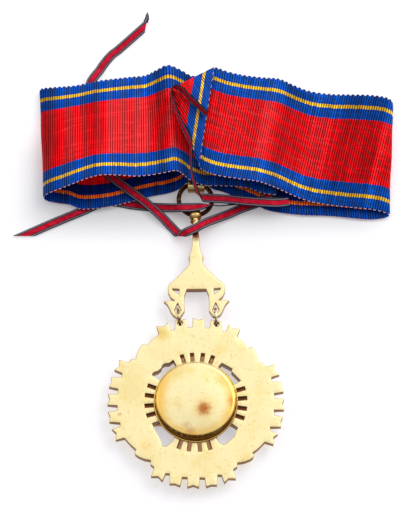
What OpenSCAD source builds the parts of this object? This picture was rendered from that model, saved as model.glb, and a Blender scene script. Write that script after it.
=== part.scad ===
// Neck badge of an order, lying face down: a pierced gilt star with a round boss, a spire hanger on
// two links, a ring, a bail and a folded neck ribbon with two tie tapes.
// The origin is under the middle of the star, on the surface that the badge lies on.
// +Z is up, +Y runs from the star towards the ribbon. Millimetres.

/* [Star plate] */
// Top of the star's flat back above the surface
star_top = 4.6; // [4:0.1:5]
// Thickness of the rim teeth, which lie clear of the surface
rim_t = 2.0; // [1.6:0.1:2.4]
// Radius of the flat middle of the front, which the star rests on
rest_r = 13; // [11:0.5:15]
// Turn of the star as it lies
star_turn = -1.7; // [-3:0.1:0]
// Width of the radial slots round the boss
slot_w = 1.3; // [1:0.1:1.5]
// Outer radius of the radial slots
slot_r = 16.8; // [16:0.1:18]

/* [Boss] */
// Radius of the domed cap
boss_r = 13.4; // [12.5:0.1:13.4]
// Height of the cap's straight wall above the star
boss_h = 2.3; // [1.5:0.1:3]
// Rise of the dome over the wall
dome_h = 0.9; // [0.5:0.1:1.5]

/* [Hanger] */
// Back of the hanger above the surface
hanger_top = 4.2; // [4:0.1:4.2]
// Thickness of the hanger's feet and rim
hanger_t = 2.2; // [1.8:0.1:2.2]
// Turn of the hanger as it lies
hanger_turn = 0.8; // [0:0.1:1]
// Radius of the pierced ball on the spire's tip
ball_r = 2.2; // [2.1:0.1:2.3]

/* [Rings] */
// Wire thickness of the two small links
link_wire = 0.9; // [0.7:0.1:0.9]
// Radius of a link to the middle of its wire
link_r = 2.8; // [2.7:0.1:2.9]
// Wire thickness of the large ring
ring_wire = 1.5; // [1.3:0.1:1.5]
// Radius of the large ring to the middle of its wire
ring_r = 5.6; // [5.5:0.1:5.7]

/* [Bail] */
// Width of the bail's band
bail_w = 5.7; // [5:0.1:5.7]
// Thickness of the bail's band
bail_t = 0.9; // [0.8:0.1:0.9]

/* [Ribbon] */
// Thickness of the ribbon's wall
ribbon_t = 1.0; // [0.8:0.1:1]
// Thickness of the tie tapes
tape_t = 0.8; // [0.6:0.1:0.8]
// Width of the tie tapes
tape_w = 3.2; // [2.6:0.1:3.2]

/* [Hidden] */
$fn = 64;
gilt = [0.93, 0.79, 0.42];
dark_gilt = [0.45, 0.28, 0.12];
crimson = [0.85, 0.11, 0.15];
tie_red = [0.62, 0.10, 0.16];
lobes = 4;
quarter = 360 / lobes;
// The waves of the first two quarters are mirrored against the other two
mirrored_quarters = 2;

// Half of one lobe, from its axis outwards. Columns: across the lobe, out from the centre.
LOBE = [[0, 28.2], [1.9, 28.9], [2, 25.6], [3.7, 25.6], [4.2, 28.6], [6, 27.9], [7.7, 28], [7.8, 24.5],
        [9.1, 24.5], [10.1, 27.1], [11.4, 25.6], [13.8, 25.7], [12.9, 22.9]];
// Edge between two lobes, a low wave that runs down from the upper lobe. Same columns.
WAVE = [[15.2, 20.8], [16.8, 18.9], [17.4, 19.4], [18.3, 19.2], [19.1, 18.2], [19.9, 16.2], [20.2, 14.1],
        [21.6, 14.1], [22.4, 13]];
// Windows between the lobes, each cut a little differently, from the upper right one clockwise.
// Columns: angle from the upper lobe's axis, radius.
WINDOWS = [[[30, 13], [30, 14.6], [31, 15.8], [37, 16], [45, 16.5], [46, 15.7], [54, 15.9], [62, 16.4],
            [63, 13]],
           [[120, 13], [121, 16.3], [124, 16.3], [132, 17.2], [146, 17.2], [150, 15.7], [150, 13]],
           [[208, 13], [208, 15.5], [211, 18], [215, 18.6], [219, 17.5], [227, 16.6], [235, 16.3],
            [241, 16.1], [240, 13]],
           [[300, 13], [301, 17.2], [304, 17.2], [309, 16.3], [314, 16.2], [317, 16.7], [320, 16.7],
            [325, 15.9], [331, 16.2], [331, 13]]];
slot_angles = [-18, -6.3, 6.3, 18];
slot_from = 12.4;
eyelet = [6, 27];
eyelet_r = 0.85;
// Radius just past the outermost teeth, where the rim thickness counts
slope_r = 30;
// How far a cut goes past the face it cuts
past = 1;

collar_r = boss_r + 0.4;
collar_h = 0.6;
boss_gap = 0.05;
dome_sides = 128;

// Half of the hanger's outline, from the ball down to the foot. Columns: across, up from hanger_foot.
HANGER = [[0.7, 34.2], [0.9, 30], [1.15, 27], [1.25, 24.8], [1.5, 23], [2, 21.2], [2.5, 20.3], [2.1, 19.2],
          [2.3, 17.8], [3.1, 16.6], [5.4, 14.3], [7.3, 12.4], [9, 11], [9.5, 9.8], [9.4, 8], [8.7, 6.4],
          [7.2, 5.1], [8.6, 5.2], [10.8, 4.9], [9.8, 3.9], [9.2, 2.8], [8.6, 1.4], [7.8, 0.1], [6.6, -0.8],
          [5.3, -0.4], [4, 1.6], [4.1, 4.6], [4, 6.8], [3.2, 9.1]];
// Half of the thick gable over the arch, which reaches down to the surface. Same columns.
GABLE = [[0.9, 26.5], [2, 18.5], [2.8, 16.2], [5, 13.6], [5, 9.1]];
BROW_HOLE = [[5.7, 9.2], [8.1, 9.4], [7.7, 8.7], [5.8, 7.2]];
// Teardrop hole: middle, round part's radius, height of its point above the middle
drop_at = [6.3, 1.9];
drop_r = 1.1;
drop_tip = 2.5;
// Angle at which the point's sides leave the round part
drop_side = 20;
hanger_foot = [0.3, 30];
ball_up = 35.8;
// Turns the ball's first meridian clear of its eye
seam_turn = 45;

link_z = 3.4;
// Links. Columns: x, y of the middle, turn from the lobe's axis
LINK_LEFT = [-5.6, 29.6, 8];
LINK_RIGHT = [6.6, 29.5, 3];

ball_x = hanger_foot[0] - ball_up * sin(hanger_turn);
ball_y = hanger_foot[1] + ball_up * cos(hanger_turn);
ring_y = ball_y + ring_r;
ring_z = ball_r;
ring_gap = 0.2;
// The ball's straight eye leaves room for the ring, which curves by this much inside it
eye_rise = ring_r - sqrt(ring_r * ring_r - ball_r * ball_r);
eye_r = ring_wire / 2 + ring_gap + eye_rise / 2;

bail_low = 73.9;
bail_high = 115.1;
bail_half = 2.1;

// Neck ribbon from its hidden left end, round the left fold, through the bail, round the right fold
// and back to its right end. Columns: lower selvage x, y, z, upper selvage x, y, z.
RIBBON = [[27, 72.5, 3.6, 27.5, 111.5, 3.6],
          [22, 73.3, 3.7, 22.5, 112.3, 4],
          [16.5, 75, 4.2, 17, 114, 4.6],
          [9.5, 75.3, 4.9, 10.5, 114.3, 5.3],
          [3, 75.3, 5.4, 4.5, 114.2, 5.6],
          [-1.7, 76, 8.5, -1.4, 114.5, 5.8],
          [-4.3, 77.6, 9.8, -5.2, 116.2, 6.8],
          [-6.7, 78.2, 11.5, -9.5, 117, 9],
          [-10.3, 77.3, 12.2, -13.5, 116, 7],
          [-15.3, 76.5, 12, -17.3, 115, 5],
          [-20.3, 76.2, 11.8, -22, 114.7, 4.5],
          [-26, 76.2, 12.8, -27.5, 114.2, 4],
          [-32, 75.8, 13.6, -33.6, 113.4, 3.6],
          [-38.5, 74.4, 12.3, -40.3, 112.2, 3.1],
          [-44.6, 73, 9.2, -46.8, 111.7, 2.7],
          [-49.2, 71.9, 7, -51.4, 111.3, 2.4],
          [-51, 71.3, 4.4, -52.8, 111.1, 1.5],
          [-49.8, 70.9, 1.9, -51.6, 110.9, 0.7],
          [-46, 70.5, 0.9, -47.5, 109.9, 0.6],
          [-42.3, 69.9, 1.15, -43.4, 109.1, 0.6],
          [-38.8, 68.3, 1.65, -39.6, 107.6, 0.6],
          [-34, 68.3, 1.65, -34.6, 107.5, 0.6],
          [-29, 69, 1.6, -29.3, 108.1, 0.6],
          [-22, 70.8, 1.65, -22.2, 109.9, 0.6],
          [-15.5, 72.8, 0.9, -15.7, 111.8, 0.6],
          [-9, 74.2, 0.8, -8.5, 112.8, 0.8],
          [-5.5, 75.4, 1.5, -5.3, 112.6, 1.5],
          [-3.1, 77.3, 2.15, -3.1, 113, 2.15],
          [0, 78.5, 2.2, 0, 113.4, 2.2],
          [3, 77.3, 2.15, 3.1, 113.2, 2.15],
          [5.6, 75.3, 1.5, 5.5, 113, 1.5],
          [9.7, 74.3, 0.8, 9.2, 113.2, 0.8],
          [19.8, 70, 0.6, 19, 108.9, 0.6],
          [25, 67.8, 0.6, 24.3, 106.8, 0.6],
          [34.8, 66.4, 0.6, 34.8, 105.4, 0.6],
          [45, 66, 0.6, 45.3, 105, 0.6],
          [57, 64.8, 0.6, 58.8, 103.6, 0.6],
          [62.8, 65.2, 0.8, 64.8, 104.2, 1.6],
          [64.6, 66, 1.6, 66.3, 105.2, 4.2],
          [62.9, 66.8, 2.4, 64.7, 106, 6.6],
          [58.3, 67.8, 2.6, 60, 106.8, 7.2],
          [51.5, 68.4, 2.9, 52.6, 107.4, 6.4],
          [44.8, 69.1, 3.1, 45.5, 107.8, 5.7],
          [38.1, 70.2, 3.6, 38.5, 108.9, 5.7],
          [32.1, 72.2, 4.6, 33, 110.9, 6.1],
          [26.4, 74, 7, 28, 112.9, 7],
          [20.7, 74.7, 10.8, 22.2, 113.1, 7.8],
          [14.6, 75.1, 12, 16.2, 113.8, 8],
          [8, 76.2, 12, 10.8, 115.1, 8],
          [3.3, 78.3, 10.6, 7.5, 116.4, 8],
          [1, 80.2, 9.4, 6.2, 116.7, 8]];
ribbon_steps = 3;
// The right end is folded over on itself to a point, which doubles the wall there
fold_tip = [-8.4, 107, 11.9];
fold_shares = [0.01, 0.35, 0.7, 0.97];
// The doubled wall over and under the middle of the single one, in wall thicknesses
fold_over = 1.1;
fold_under = 0.5;

// Tie tapes. Columns: x, y, z of the middle line, heading and tilt of the line across the tape.
TIE_RIGHT = [[3.8, 98.3, 12, 16, 68],
             [1.3, 100.5, 12.6, 16, 68],
             [-1, 102.5, 13.3, 15, 67],
             [-3, 104.4, 13.9, 15, 67],
             [-4.7, 106, 14.5, 14, 68],
             [-6.3, 106.9, 14.8, 10, 68],
             [-7.7, 107, 14.6, 0, 69],
             [-8.5, 106.1, 14.2, -20, 69],
             [-8.5, 104.7, 13.7, -34, 69],
             [-7.7, 102.9, 13.1, -38, 69],
             [-7, 100.6, 12.8, -34, 69],
             [-6.2, 98, 12.8, -26, 68],
             [-5.1, 95.3, 12.8, -16, 66],
             [-3.8, 92.4, 12.7, -8, 63],
             [-2.7, 90, 12.7, -10, 62],
             [-1.9, 87.9, 12.5, -28, 64],
             [-1.5, 85.8, 12.1, -52, 68],
             [-1.5, 83.2, 11.7, -65, 69],
             [-1.5, 80.7, 11.2, -65, 69],
             [-1.4, 78.2, 11.2, -58, 69],
             [-1, 76.2, 10.9, -47, 69],
             [-0.4, 74.4, 9.6, -36, 67],
             [0.2, 72.8, 8, -36, 62],
             [0.9, 71.6, 6.4, -50, 45],
             [1.8, 71.1, 5.2, -75, 15],
             [3.3, 71, 4.8, -88, 0],
             [9.7, 70.7, 4.6, -92, 0],
             [16.4, 70.1, 4.35, -94, 0],
             [22, 69.7, 4.15, -93, 0],
             [26.4, 69.5, 4.05, -90, 0],
             [29, 69.7, 4, -87, 0],
             [30.8, 70.2, 3.4, -85, 5],
             [29, 70.4, 2.8, -88, 0],
             [24.1, 70.4, 2.9, -90, 0],
             [18.7, 70.4, 2.95, -90, 0],
             [14.7, 70.3, 2.5, -90, 38],
             [10.5, 69.4, 2.2, -90, 68],
             [7.6, 68.7, 3.5, -90, 70],
             [5.3, 68.5, 4.7, -90, 68],
             [3, 68, 5, -90, 42],
             [1.3, 67.9, 4.9, -90, 22],
             [-0.3, 67.7, 4.9, -90, 10],
             [-2.7, 67.6, 4.8, -90, 0],
             [-5.3, 67.8, 4.2, -92, 0],
             [-8, 68.6, 1.7, -95, 0],
             [-10.4, 69.1, 0.6, -95, 0],
             [-15.4, 69.4, 0.45, -95, 0],
             [-22.1, 70.2, 0.45, -97, 0],
             [-25.5, 70.9, 0.45, -96, 0],
             [-28.4, 71.2, 0.45, -88, 0],
             [-31, 70.9, 0.45, -75, 0],
             [-33.9, 69.9, 0.45, -68, 0],
             [-37.2, 68.3, 0.45, -65, 0],
             [-42.2, 66.1, 0.5, -65, 0],
             [-48.9, 63.1, 0.5, -65, 0],
             [-57.5, 59.1, 0.5, -65, 0]];
TIE_LEFT = [[28.5, 78.3, 2.4, -42, 0],
            [26.3, 75.5, 2.1, -40, 12],
            [23.6, 72.4, 1.75, -42, 5],
            [20.7, 70.4, 1.7, -50, 0],
            [17.7, 69.3, 1.55, -60, 0],
            [14.7, 68.3, 1.3, -64, 0],
            [11.4, 66.8, 1.2, -66, 0],
            [8, 65.4, 1.3, -65, 0],
            [5, 63.7, 2.8, -64, 0],
            [2.3, 61.8, 4.7, -64, 0],
            [-0.3, 60.2, 4.9, -64, 0],
            [-2.5, 59.2, 4.8, -60, 0],
            [-4.3, 58.7, 3.6, -35, 0],
            [-5.1, 58.5, 2.3, -7, 0],
            [-5.8, 59.4, 1.1, 25, 0],
            [-7.3, 61.2, 0.7, 46, 0],
            [-8.9, 62.9, 0.7, 48, 0],
            [-11.1, 65.2, 1.3, 48, 0],
            [-13.4, 67.4, 1.6, 50, 0],
            [-15.4, 69.2, 1.7, 50, 0],
            [-17.8, 71.1, 2.4, 51, 0],
            [-20.5, 73, 2.9, 52, 8],
            [-23.8, 75.6, 2.95, 52, 14],
            [-27.2, 78.3, 2.9, 46, 15],
            [-29.6, 81.3, 2.8, 36, 10],
            [-31.5, 87, 2.6, 18, 0],
            [-33.4, 94.5, 2.4, 10, 0],
            [-35, 103.6, 2.2, 6, 0],
            [-36.2, 110, 2, -8, 0],
            [-35.8, 113.5, 1.9, -28, 0],
            [-34.6, 115.9, 1.6, -33, 0],
            [-32.8, 118.7, 0.8, -34, 0],
            [-31.1, 121.5, 0.5, -37, 0],
            [-28.7, 124.5, 0.5, -46, 0],
            [-26, 126.8, 0.5, -48, 0],
            [-17.2, 135.2, 0.6, -46, 0]];
tape_steps = 2;
// Slant of the cut across the free end
tie_right_lean = 65; // [0:1:70]
tie_left_lean = 52; // [0:1:70]

function mid_spline(a, b, c, d, t) =
    0.5 * (2 * b + (c - a) * t + (2 * a - 5 * b + 4 * c - d) * t * t + (3 * b - a - 3 * c + d) * t * t * t);

// A smooth run of rows through the rows of a table, with a number of steps between two rows
function smooth_rows(rows, steps) = let (last = len(rows) - 1) concat(
    [for (i = [0:last - 1], s = [0:steps - 1])
        mid_spline(rows[max(i - 1, 0)], rows[i], rows[i + 1], rows[min(i + 2, last)], s / steps)],
    [rows[last]]);

function unit(v) = v / norm(v);
function first3(row) = [row[0], row[1], row[2]];
function last3(row) = [row[3], row[4], row[5]];

// Four corners of a flat section: two edge points, the way along, and the wall over and under them
function section(low, high, way, over, under) = let (up = unit(cross(way, high - low)))
    [low + up * over, high + up * over, high - up * under, low - up * under];

// Three-sided faces of a bar with four corners in each section
function bar_faces(count) = let (end = 4 * (count - 1)) concat(
    [[3, 2, 1], [3, 1, 0], [end, end + 1, end + 2], [end, end + 2, end + 3]],
    [for (i = [0:count - 2], k = [0:3], half = [0, 1]) let (a = 4 * i + k, b = 4 * i + (k + 1) % 4)
        half == 0 ? [a, b, b + 4] : [a, b + 4, a + 4]]);

module bar(sections) {
    polyhedron(points = [for (s = sections, p = s) p], faces = bar_faces(len(sections)));
}

function ribbon_way(rows, i) = let (a = rows[max(i - 1, 0)], b = rows[min(i + 1, len(rows) - 1)])
    unit(first3(b) - first3(a)) + unit(last3(b) - last3(a));

function ribbon_sections(rows) = [for (i = [0:len(rows) - 1])
    section(last3(rows[i]), first3(rows[i]), ribbon_way(rows, i), ribbon_t / 2, ribbon_t / 2)];

// Doubled end: the edges close in on the tip
function fold_sections(row) = [for (share = fold_shares)
    let (low = first3(row) + (fold_tip - first3(row)) * share,
         high = last3(row) + (fold_tip - last3(row)) * share,
         over = [0, 0, fold_over * ribbon_t], under = [0, 0, -fold_under * ribbon_t])
    [high + over, low + over, low + under, high + under]];

function across(row) = [cos(row[3]) * cos(row[4]), sin(row[3]) * cos(row[4]), sin(row[4])] * tape_w / 2;

// The free end is cut on a slant, by lean
function tape_sections(rows, lean) = [for (i = [0:len(rows) - 1])
    let (here = first3(rows[i]),
         way = first3(rows[min(i + 1, len(rows) - 1)]) - first3(rows[max(i - 1, 0)]),
         slant = i == len(rows) - 1 ? unit(way) * tape_w / 2 * tan(lean) : [0, 0, 0],
         side = across(rows[i]) - slant)
    section(here - side, here + side, way, tape_t / 2, tape_t / 2)];

function turned(points, a) = [for (p = points)
    [p[0] * cos(a) - p[1] * sin(a), p[0] * sin(a) + p[1] * cos(a)]];
function flipped(points) = [for (i = [len(points) - 1:-1:0]) [-points[i][0], points[i][1]]];
function crossed(points) = [for (i = [len(points) - 1:-1:0]) [points[i][1], points[i][0]]];

// Star outline: each lobe with its mirror half, then the wave to the next lobe clockwise
star_outline = [for (k = [0:lobes - 1],
                     p = turned(concat(flipped(LOBE), [for (i = [1:len(LOBE) - 1]) LOBE[i]],
                                       k < mirrored_quarters ? WAVE : crossed(WAVE)), -quarter * k)) p];

module star_plate() {
    cut_h = star_top + 2 * past;
    color(gilt) rotate([0, 0, star_turn]) difference() {
        intersection() {
            linear_extrude(height = star_top) polygon(star_outline);
            rotate_extrude() polygon([[0, 0], [rest_r, 0], [slope_r, star_top - rim_t], [slope_r, star_top],
                                      [0, star_top]]);
        }
        for (k = [0:lobes - 1], a = slot_angles) rotate([0, 0, quarter * k + a])
            translate([-slot_w / 2, slot_from, -past]) cube([slot_w, slot_r - slot_from, cut_h]);
        for (window = WINDOWS) translate([0, 0, -past]) linear_extrude(height = cut_h)
            polygon([for (w = window) [w[1] * sin(w[0]), w[1] * cos(w[0])]]);
        for (side = [-1, 1]) translate([side * eyelet[0], eyelet[1], -past])
            cylinder(r = eyelet_r, h = cut_h);
    }
}

module centre_boss() {
    top = boss_h + dome_h;
    sphere_r = (boss_r * boss_r + dome_h * dome_h) / (2 * dome_h);
    color(gilt) translate([0, 0, star_top + boss_gap]) {
        cylinder(r = collar_r, h = collar_h);
        intersection() {
            cylinder(r = boss_r, h = top);
            translate([0, 0, top - sphere_r]) sphere(r = sphere_r, $fn = dome_sides);
        }
    }
}

// Holes in one half of the hanger: a small one under the eaves and a teardrop for the link
module hanger_holes() {
    polygon(BROW_HOLE);
    translate(drop_at) {
        circle(r = drop_r);
        polygon([[-drop_r * cos(drop_side), drop_r * sin(drop_side)],
                 [drop_r * cos(drop_side), drop_r * sin(drop_side)], [0, drop_tip]]);
    }
}

module spire_hanger() {
    color(gilt) difference() {
        translate([hanger_foot[0], hanger_foot[1], 0]) rotate([0, 0, hanger_turn]) {
            translate([0, 0, hanger_top - hanger_t]) linear_extrude(height = hanger_t) difference() {
                polygon(concat(HANGER, flipped(HANGER)));
                hanger_holes();
                mirror([1, 0, 0]) hanger_holes();
            }
            linear_extrude(height = hanger_top - hanger_t / 2) polygon(concat(GABLE, flipped(GABLE)));
            translate([0, ball_up, ball_r]) rotate([0, 0, seam_turn]) sphere(r = ball_r);
        }
        translate([ball_x - 2 * ball_r, ball_y + eye_rise / 2, ring_z]) rotate([0, 90, 0])
            cylinder(r = eye_r, h = 4 * ball_r);
    }
}

module link(place) {
    color(dark_gilt) translate([place[0], place[1], link_z]) rotate([0, 0, place[2]]) rotate([0, 90, 0])
        rotate_extrude() translate([link_r, 0]) circle(r = link_wire / 2);
}

module link_left() {
    link(LINK_LEFT);
}

module link_right() {
    link(LINK_RIGHT);
}

module ribbon_ring() {
    color(dark_gilt) translate([ball_x, ring_y, ring_z]) rotate_extrude()
        translate([ring_r, 0]) circle(r = ring_wire / 2);
}

// Long round-ended outline of the bail, seen from its side
module bail_outline(half) {
    for (y = [bail_low + bail_half, bail_high - bail_half]) translate([y, 0]) circle(r = half);
    translate([bail_low + bail_half, -half]) square([bail_high - bail_low - 2 * bail_half, 2 * half]);
}

module ribbon_clasp() {
    color(gilt) translate([-bail_w / 2, 0, ring_z]) rotate([90, 0, 90]) linear_extrude(height = bail_w)
        difference() {
            bail_outline(bail_half);
            bail_outline(bail_half - bail_t);
        }
}

module neck_ribbon() {
    rows = smooth_rows(RIBBON, ribbon_steps);
    color(crimson) bar(concat(ribbon_sections(rows), fold_sections(RIBBON[len(RIBBON) - 1])));
}

module tie_right() {
    color(tie_red) bar(tape_sections(smooth_rows(TIE_RIGHT, tape_steps), tie_right_lean));
}

module tie_left() {
    color(tie_red) bar(tape_sections(smooth_rows(TIE_LEFT, tape_steps), tie_left_lean));
}

star_plate();
centre_boss();
spire_hanger();
link_left();
link_right();
ribbon_ring();
ribbon_clasp();
neck_ribbon();
tie_right();
tie_left();
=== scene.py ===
"""Looks of a neck badge that lies face down: gilt star, hanger, rings, ribbed neck ribbon and tie tapes.

Tables are in millimetres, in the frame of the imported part. Meshes are made in millimetres and
scaled to metres when their piece is added.
"""

import math

import bmesh
import bpy
import numpy as np
from bpy.props import FloatProperty, FloatVectorProperty, PointerProperty
from mathutils import Matrix, Vector, geometry, noise


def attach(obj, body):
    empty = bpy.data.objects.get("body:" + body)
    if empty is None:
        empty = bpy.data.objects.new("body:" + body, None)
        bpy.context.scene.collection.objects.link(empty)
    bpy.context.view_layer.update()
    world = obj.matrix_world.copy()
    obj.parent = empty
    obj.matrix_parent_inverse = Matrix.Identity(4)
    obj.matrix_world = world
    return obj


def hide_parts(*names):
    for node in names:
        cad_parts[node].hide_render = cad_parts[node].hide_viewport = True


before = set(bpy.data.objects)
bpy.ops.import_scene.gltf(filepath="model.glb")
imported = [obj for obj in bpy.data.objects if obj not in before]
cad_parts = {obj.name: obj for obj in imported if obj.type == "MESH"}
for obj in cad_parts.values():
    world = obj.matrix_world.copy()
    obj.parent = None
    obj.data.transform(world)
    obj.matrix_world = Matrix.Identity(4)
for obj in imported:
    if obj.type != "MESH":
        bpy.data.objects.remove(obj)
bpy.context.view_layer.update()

bl_info = {
    "name": "Order Badge",
    "version": (1, 0, 0),
    "blender": (4, 5, 0),
    "location": "View3D > Sidebar > Badge",
    "description": "Builds a neck badge with its ribbon around a packed frame",
    "category": "Add Mesh",
}

MM = 0.001
PRINCIPLED = "Principled BSDF"

# Star, as in the part: half a lobe, the wave to the next lobe, and the windows (angle, radius).
LOBE = [(0, 28.2), (1.9, 28.9), (2, 25.6), (3.7, 25.6), (4.2, 28.6), (6, 27.9), (7.7, 28),
        (7.8, 24.5), (9.1, 24.5), (10.1, 27.1), (11.4, 25.6), (13.8, 25.7), (12.9, 22.9)]
WAVE = [(15.2, 20.8), (16.8, 18.9), (17.4, 19.4), (18.3, 19.2), (19.1, 18.2), (19.9, 16.2),
        (20.2, 14.1), (21.6, 14.1), (22.4, 13)]
WINDOWS = [
    [(30, 13), (30, 14.6), (31, 15.8), (37, 16), (45, 16.5), (46, 15.7), (54, 15.9), (62, 16.4),
     (63, 13)],
    [(120, 13), (121, 16.3), (124, 16.3), (132, 17.2), (146, 17.2), (150, 15.7), (150, 13)],
    [(208, 13), (208, 15.5), (211, 18), (215, 18.6), (219, 17.5), (227, 16.6), (235, 16.3),
     (241, 16.1), (240, 13)],
    [(300, 13), (301, 17.2), (304, 17.2), (309, 16.3), (314, 16.2), (317, 16.7), (320, 16.7),
     (325, 15.9), (331, 16.2), (331, 13)],
]
LOBES = 4
MIRRORED_QUARTERS = 2
STAR_TOP = 4.6
STAR_TURN = -1.7
RIM_T = 2.0
REST_R = 13
SLOPE_R = 30
SLOT_ANGLES = (-18, -6.3, 6.3, 18)
SLOT_FROM = 12.4
SLOT_TO = 16.8
SLOT_W = 1.3
EYELET = (6, 27)
EYELET_R = 0.85

BOSS_R = 13.4
BOSS_Z = 4.65
BOSS_H = 2.3
DOME_H = 0.9
BOSS_ROUND = 1.7
COLLAR_R = 13.8
COLLAR_H = 0.6

# Hanger, as in the part but for the foot of the gable: half of the outline, half of the thick gable
# behind it, and the hole under one of the eaves.
HANGER = [(0.7, 34.2), (0.9, 30), (1.15, 27), (1.25, 24.8), (1.5, 23), (2, 21.2), (2.5, 20.3),
          (2.1, 19.2), (2.3, 17.8), (3.1, 16.6), (5.4, 14.3), (7.3, 12.4), (9, 11), (9.5, 9.8),
          (9.4, 8), (8.7, 6.4), (7.2, 5.1), (8.6, 5.2), (10.8, 4.9), (9.8, 3.9), (9.2, 2.8),
          (8.6, 1.4), (7.8, 0.1), (6.6, -0.8), (5.3, -0.4), (4, 1.6), (4.1, 4.6), (4, 6.8),
          (3.2, 9.1)]
GABLE = [(0.9, 26.5), (2, 18.5), (2.8, 16.2), (5, 13.6), (5, 9.4)]
BROW_HOLE = [(5.7, 9.2), (8.1, 9.4), (7.7, 8.7), (5.8, 7.2)]
DROP_AT = (6.3, 1.9)
DROP_R = 1.1
DROP_TIP = 2.5
HANGER_FOOT = (0.3, 30)
HANGER_TURN = 0.8
HANGER_TOP = 4.2
HANGER_T = 2.2
BALL_UP = 35.8
BALL_R = 2.2
# Bore of the ball: its room round the ring's wire, and the reach of the tool that cuts it.
BORE_ROOM = 0.2
BORE_REACH = 4
# Ring of fine wire round the tip of the spire.
COIL_R = 1.35
COIL_WIRE = 0.42
COIL_AT = (0, 33.3, HANGER_TOP - 1.6)

# Links, with x, y and turn of each, the ring, and the bail with its two ends in Y.
LINK_Z = 3.4
LINK_R = 2.8
LINK_WIRE = 0.9
LINKS = {"link_left": (-5.6, 29.6, 8), "link_right": (6.6, 29.5, 3)}
RING_R = 5.6
RING_WIRE = 1.5
BAIL_LOW = 73.9
BAIL_HIGH = 115.1
BAIL_HALF = 2.1
BAIL_W = 5.7
BAIL_T = 0.9
BAIL_STEPS = 12

# Neck ribbon, as in the part: lower selvage x, y, z, upper selvage x, y, z.
RIBBON = [
    (27, 72.5, 3.6, 27.5, 111.5, 3.6),
    (22, 73.3, 3.7, 22.5, 112.3, 4),
    (16.5, 75, 4.2, 17, 114, 4.6),
    (9.5, 75.3, 4.9, 10.5, 114.3, 5.3),
    (3, 75.3, 5.4, 4.5, 114.2, 5.6),
    (-1.7, 76, 8.5, -1.4, 114.5, 5.8),
    (-4.3, 77.6, 9.8, -5.2, 116.2, 6.8),
    (-6.7, 78.2, 11.5, -9.5, 117, 9),
    (-10.3, 77.3, 12.2, -13.5, 116, 7),
    (-15.3, 76.5, 12, -17.3, 115, 5),
    (-20.3, 76.2, 11.8, -22, 114.7, 4.5),
    (-26, 76.2, 12.8, -27.5, 114.2, 4),
    (-32, 75.8, 13.6, -33.6, 113.4, 3.6),
    (-38.5, 74.4, 12.3, -40.3, 112.2, 3.1),
    (-44.6, 73, 9.2, -46.8, 111.7, 2.7),
    (-49.2, 71.9, 7, -51.4, 111.3, 2.4),
    (-51, 71.3, 4.4, -52.8, 111.1, 1.5),
    (-49.8, 70.9, 1.9, -51.6, 110.9, 0.7),
    (-46, 70.5, 0.9, -47.5, 109.9, 0.6),
    (-42.3, 69.9, 1.15, -43.4, 109.1, 0.6),
    (-38.8, 68.3, 1.65, -39.6, 107.6, 0.6),
    (-34, 68.3, 1.65, -34.6, 107.5, 0.6),
    (-29, 69, 1.6, -29.3, 108.1, 0.6),
    (-22, 70.8, 1.65, -22.2, 109.9, 0.6),
    (-15.5, 72.8, 0.9, -15.7, 111.8, 0.6),
    (-9, 74.2, 0.8, -8.5, 112.8, 0.8),
    (-5.5, 75.4, 1.5, -5.3, 112.6, 1.5),
    (-3.1, 77.3, 2.15, -3.1, 113, 2.15),
    (0, 78.5, 2.2, 0, 113.4, 2.2),
    (3, 77.3, 2.15, 3.1, 113.2, 2.15),
    (5.6, 75.3, 1.5, 5.5, 113, 1.5),
    (9.7, 74.3, 0.8, 9.2, 113.2, 0.8),
    (19.8, 70, 0.6, 19, 108.9, 0.6),
    (25, 67.8, 0.6, 24.3, 106.8, 0.6),
    (34.8, 66.4, 0.6, 34.8, 105.4, 0.6),
    (45, 66, 0.6, 45.3, 105, 0.6),
    (57, 64.8, 0.6, 58.8, 103.6, 0.6),
    (62.8, 65.2, 0.8, 64.8, 104.2, 1.6),
    (64.6, 66, 1.6, 66.3, 105.2, 4.2),
    (62.9, 66.8, 2.4, 64.7, 106, 6.6),
    (58.3, 67.8, 2.6, 60, 106.8, 7.2),
    (51.5, 68.4, 2.9, 52.6, 107.4, 6.4),
    (44.8, 69.1, 3.1, 45.5, 107.8, 5.7),
    (38.1, 70.2, 3.6, 38.5, 108.9, 5.7),
    (32.1, 72.2, 4.6, 33, 110.9, 6.1),
    (26.4, 74, 7, 28, 112.9, 7),
    (20.7, 74.7, 10.8, 22.2, 113.1, 7.8),
    (14.6, 75.1, 12, 16.2, 113.8, 8),
    (8, 76.2, 12, 10.8, 115.1, 8),
    (3.3, 78.3, 10.6, 7.5, 116.4, 8),
    (1, 80.2, 9.4, 6.2, 116.7, 8),
]
RIBBON_W = 39.0
# Soft folds: the place along the ribbon, and how far the silk leans to the right there, in degrees.
# The lean also sets painted light and a painted sheen on the folds.
FOLDS = [
    (0, 0), (24, 0), (30, -25), (35.5, -22), (37.5, 16), (39.3, -10), (41, -20), (43.5, -4), (45.9, 8),
    (48.5, 12), (51, 7), (56.4, 10), (58.8, 9), (61, -2), (64, -12), (66.8, -8), (69, 2), (72.5, 3),
    (75.5, -2), (78, -8), (80, -18), (82, -22), (85, 0), (205, 0), (209, -5), (211.5, 6), (213.5, -12),
    (217, -18), (221, -10), (224, -14), (227, -4), (231, 4), (236, 3), (241, -6), (243.5, -14),
    (245.5, -18), (247.5, -4), (250, 6), (252.5, 9), (254, 1), (265, 2), (275, 0),
]
# How far each rib leans along the ribbon, from the lower selvage to the upper one: row, millimetres.
RIB_LEAN = [
    (0, 0), (6, 1.2), (16, 1.2), (24, 0), (33, 0), (39, 7.5), (43, 8.4), (45, 6.5), (48, 4.5), (50, 0),
]
# Folded point at the ribbon's end: its tip, the length of silk in it, how much of the triangle is kept,
# and how much narrower it lies than it is.
FOLD_TIP = (-8.4, 107, 11.9)
FLAP_REACH = 0.985
FLAP_SQUEEZE = 0.74
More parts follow.
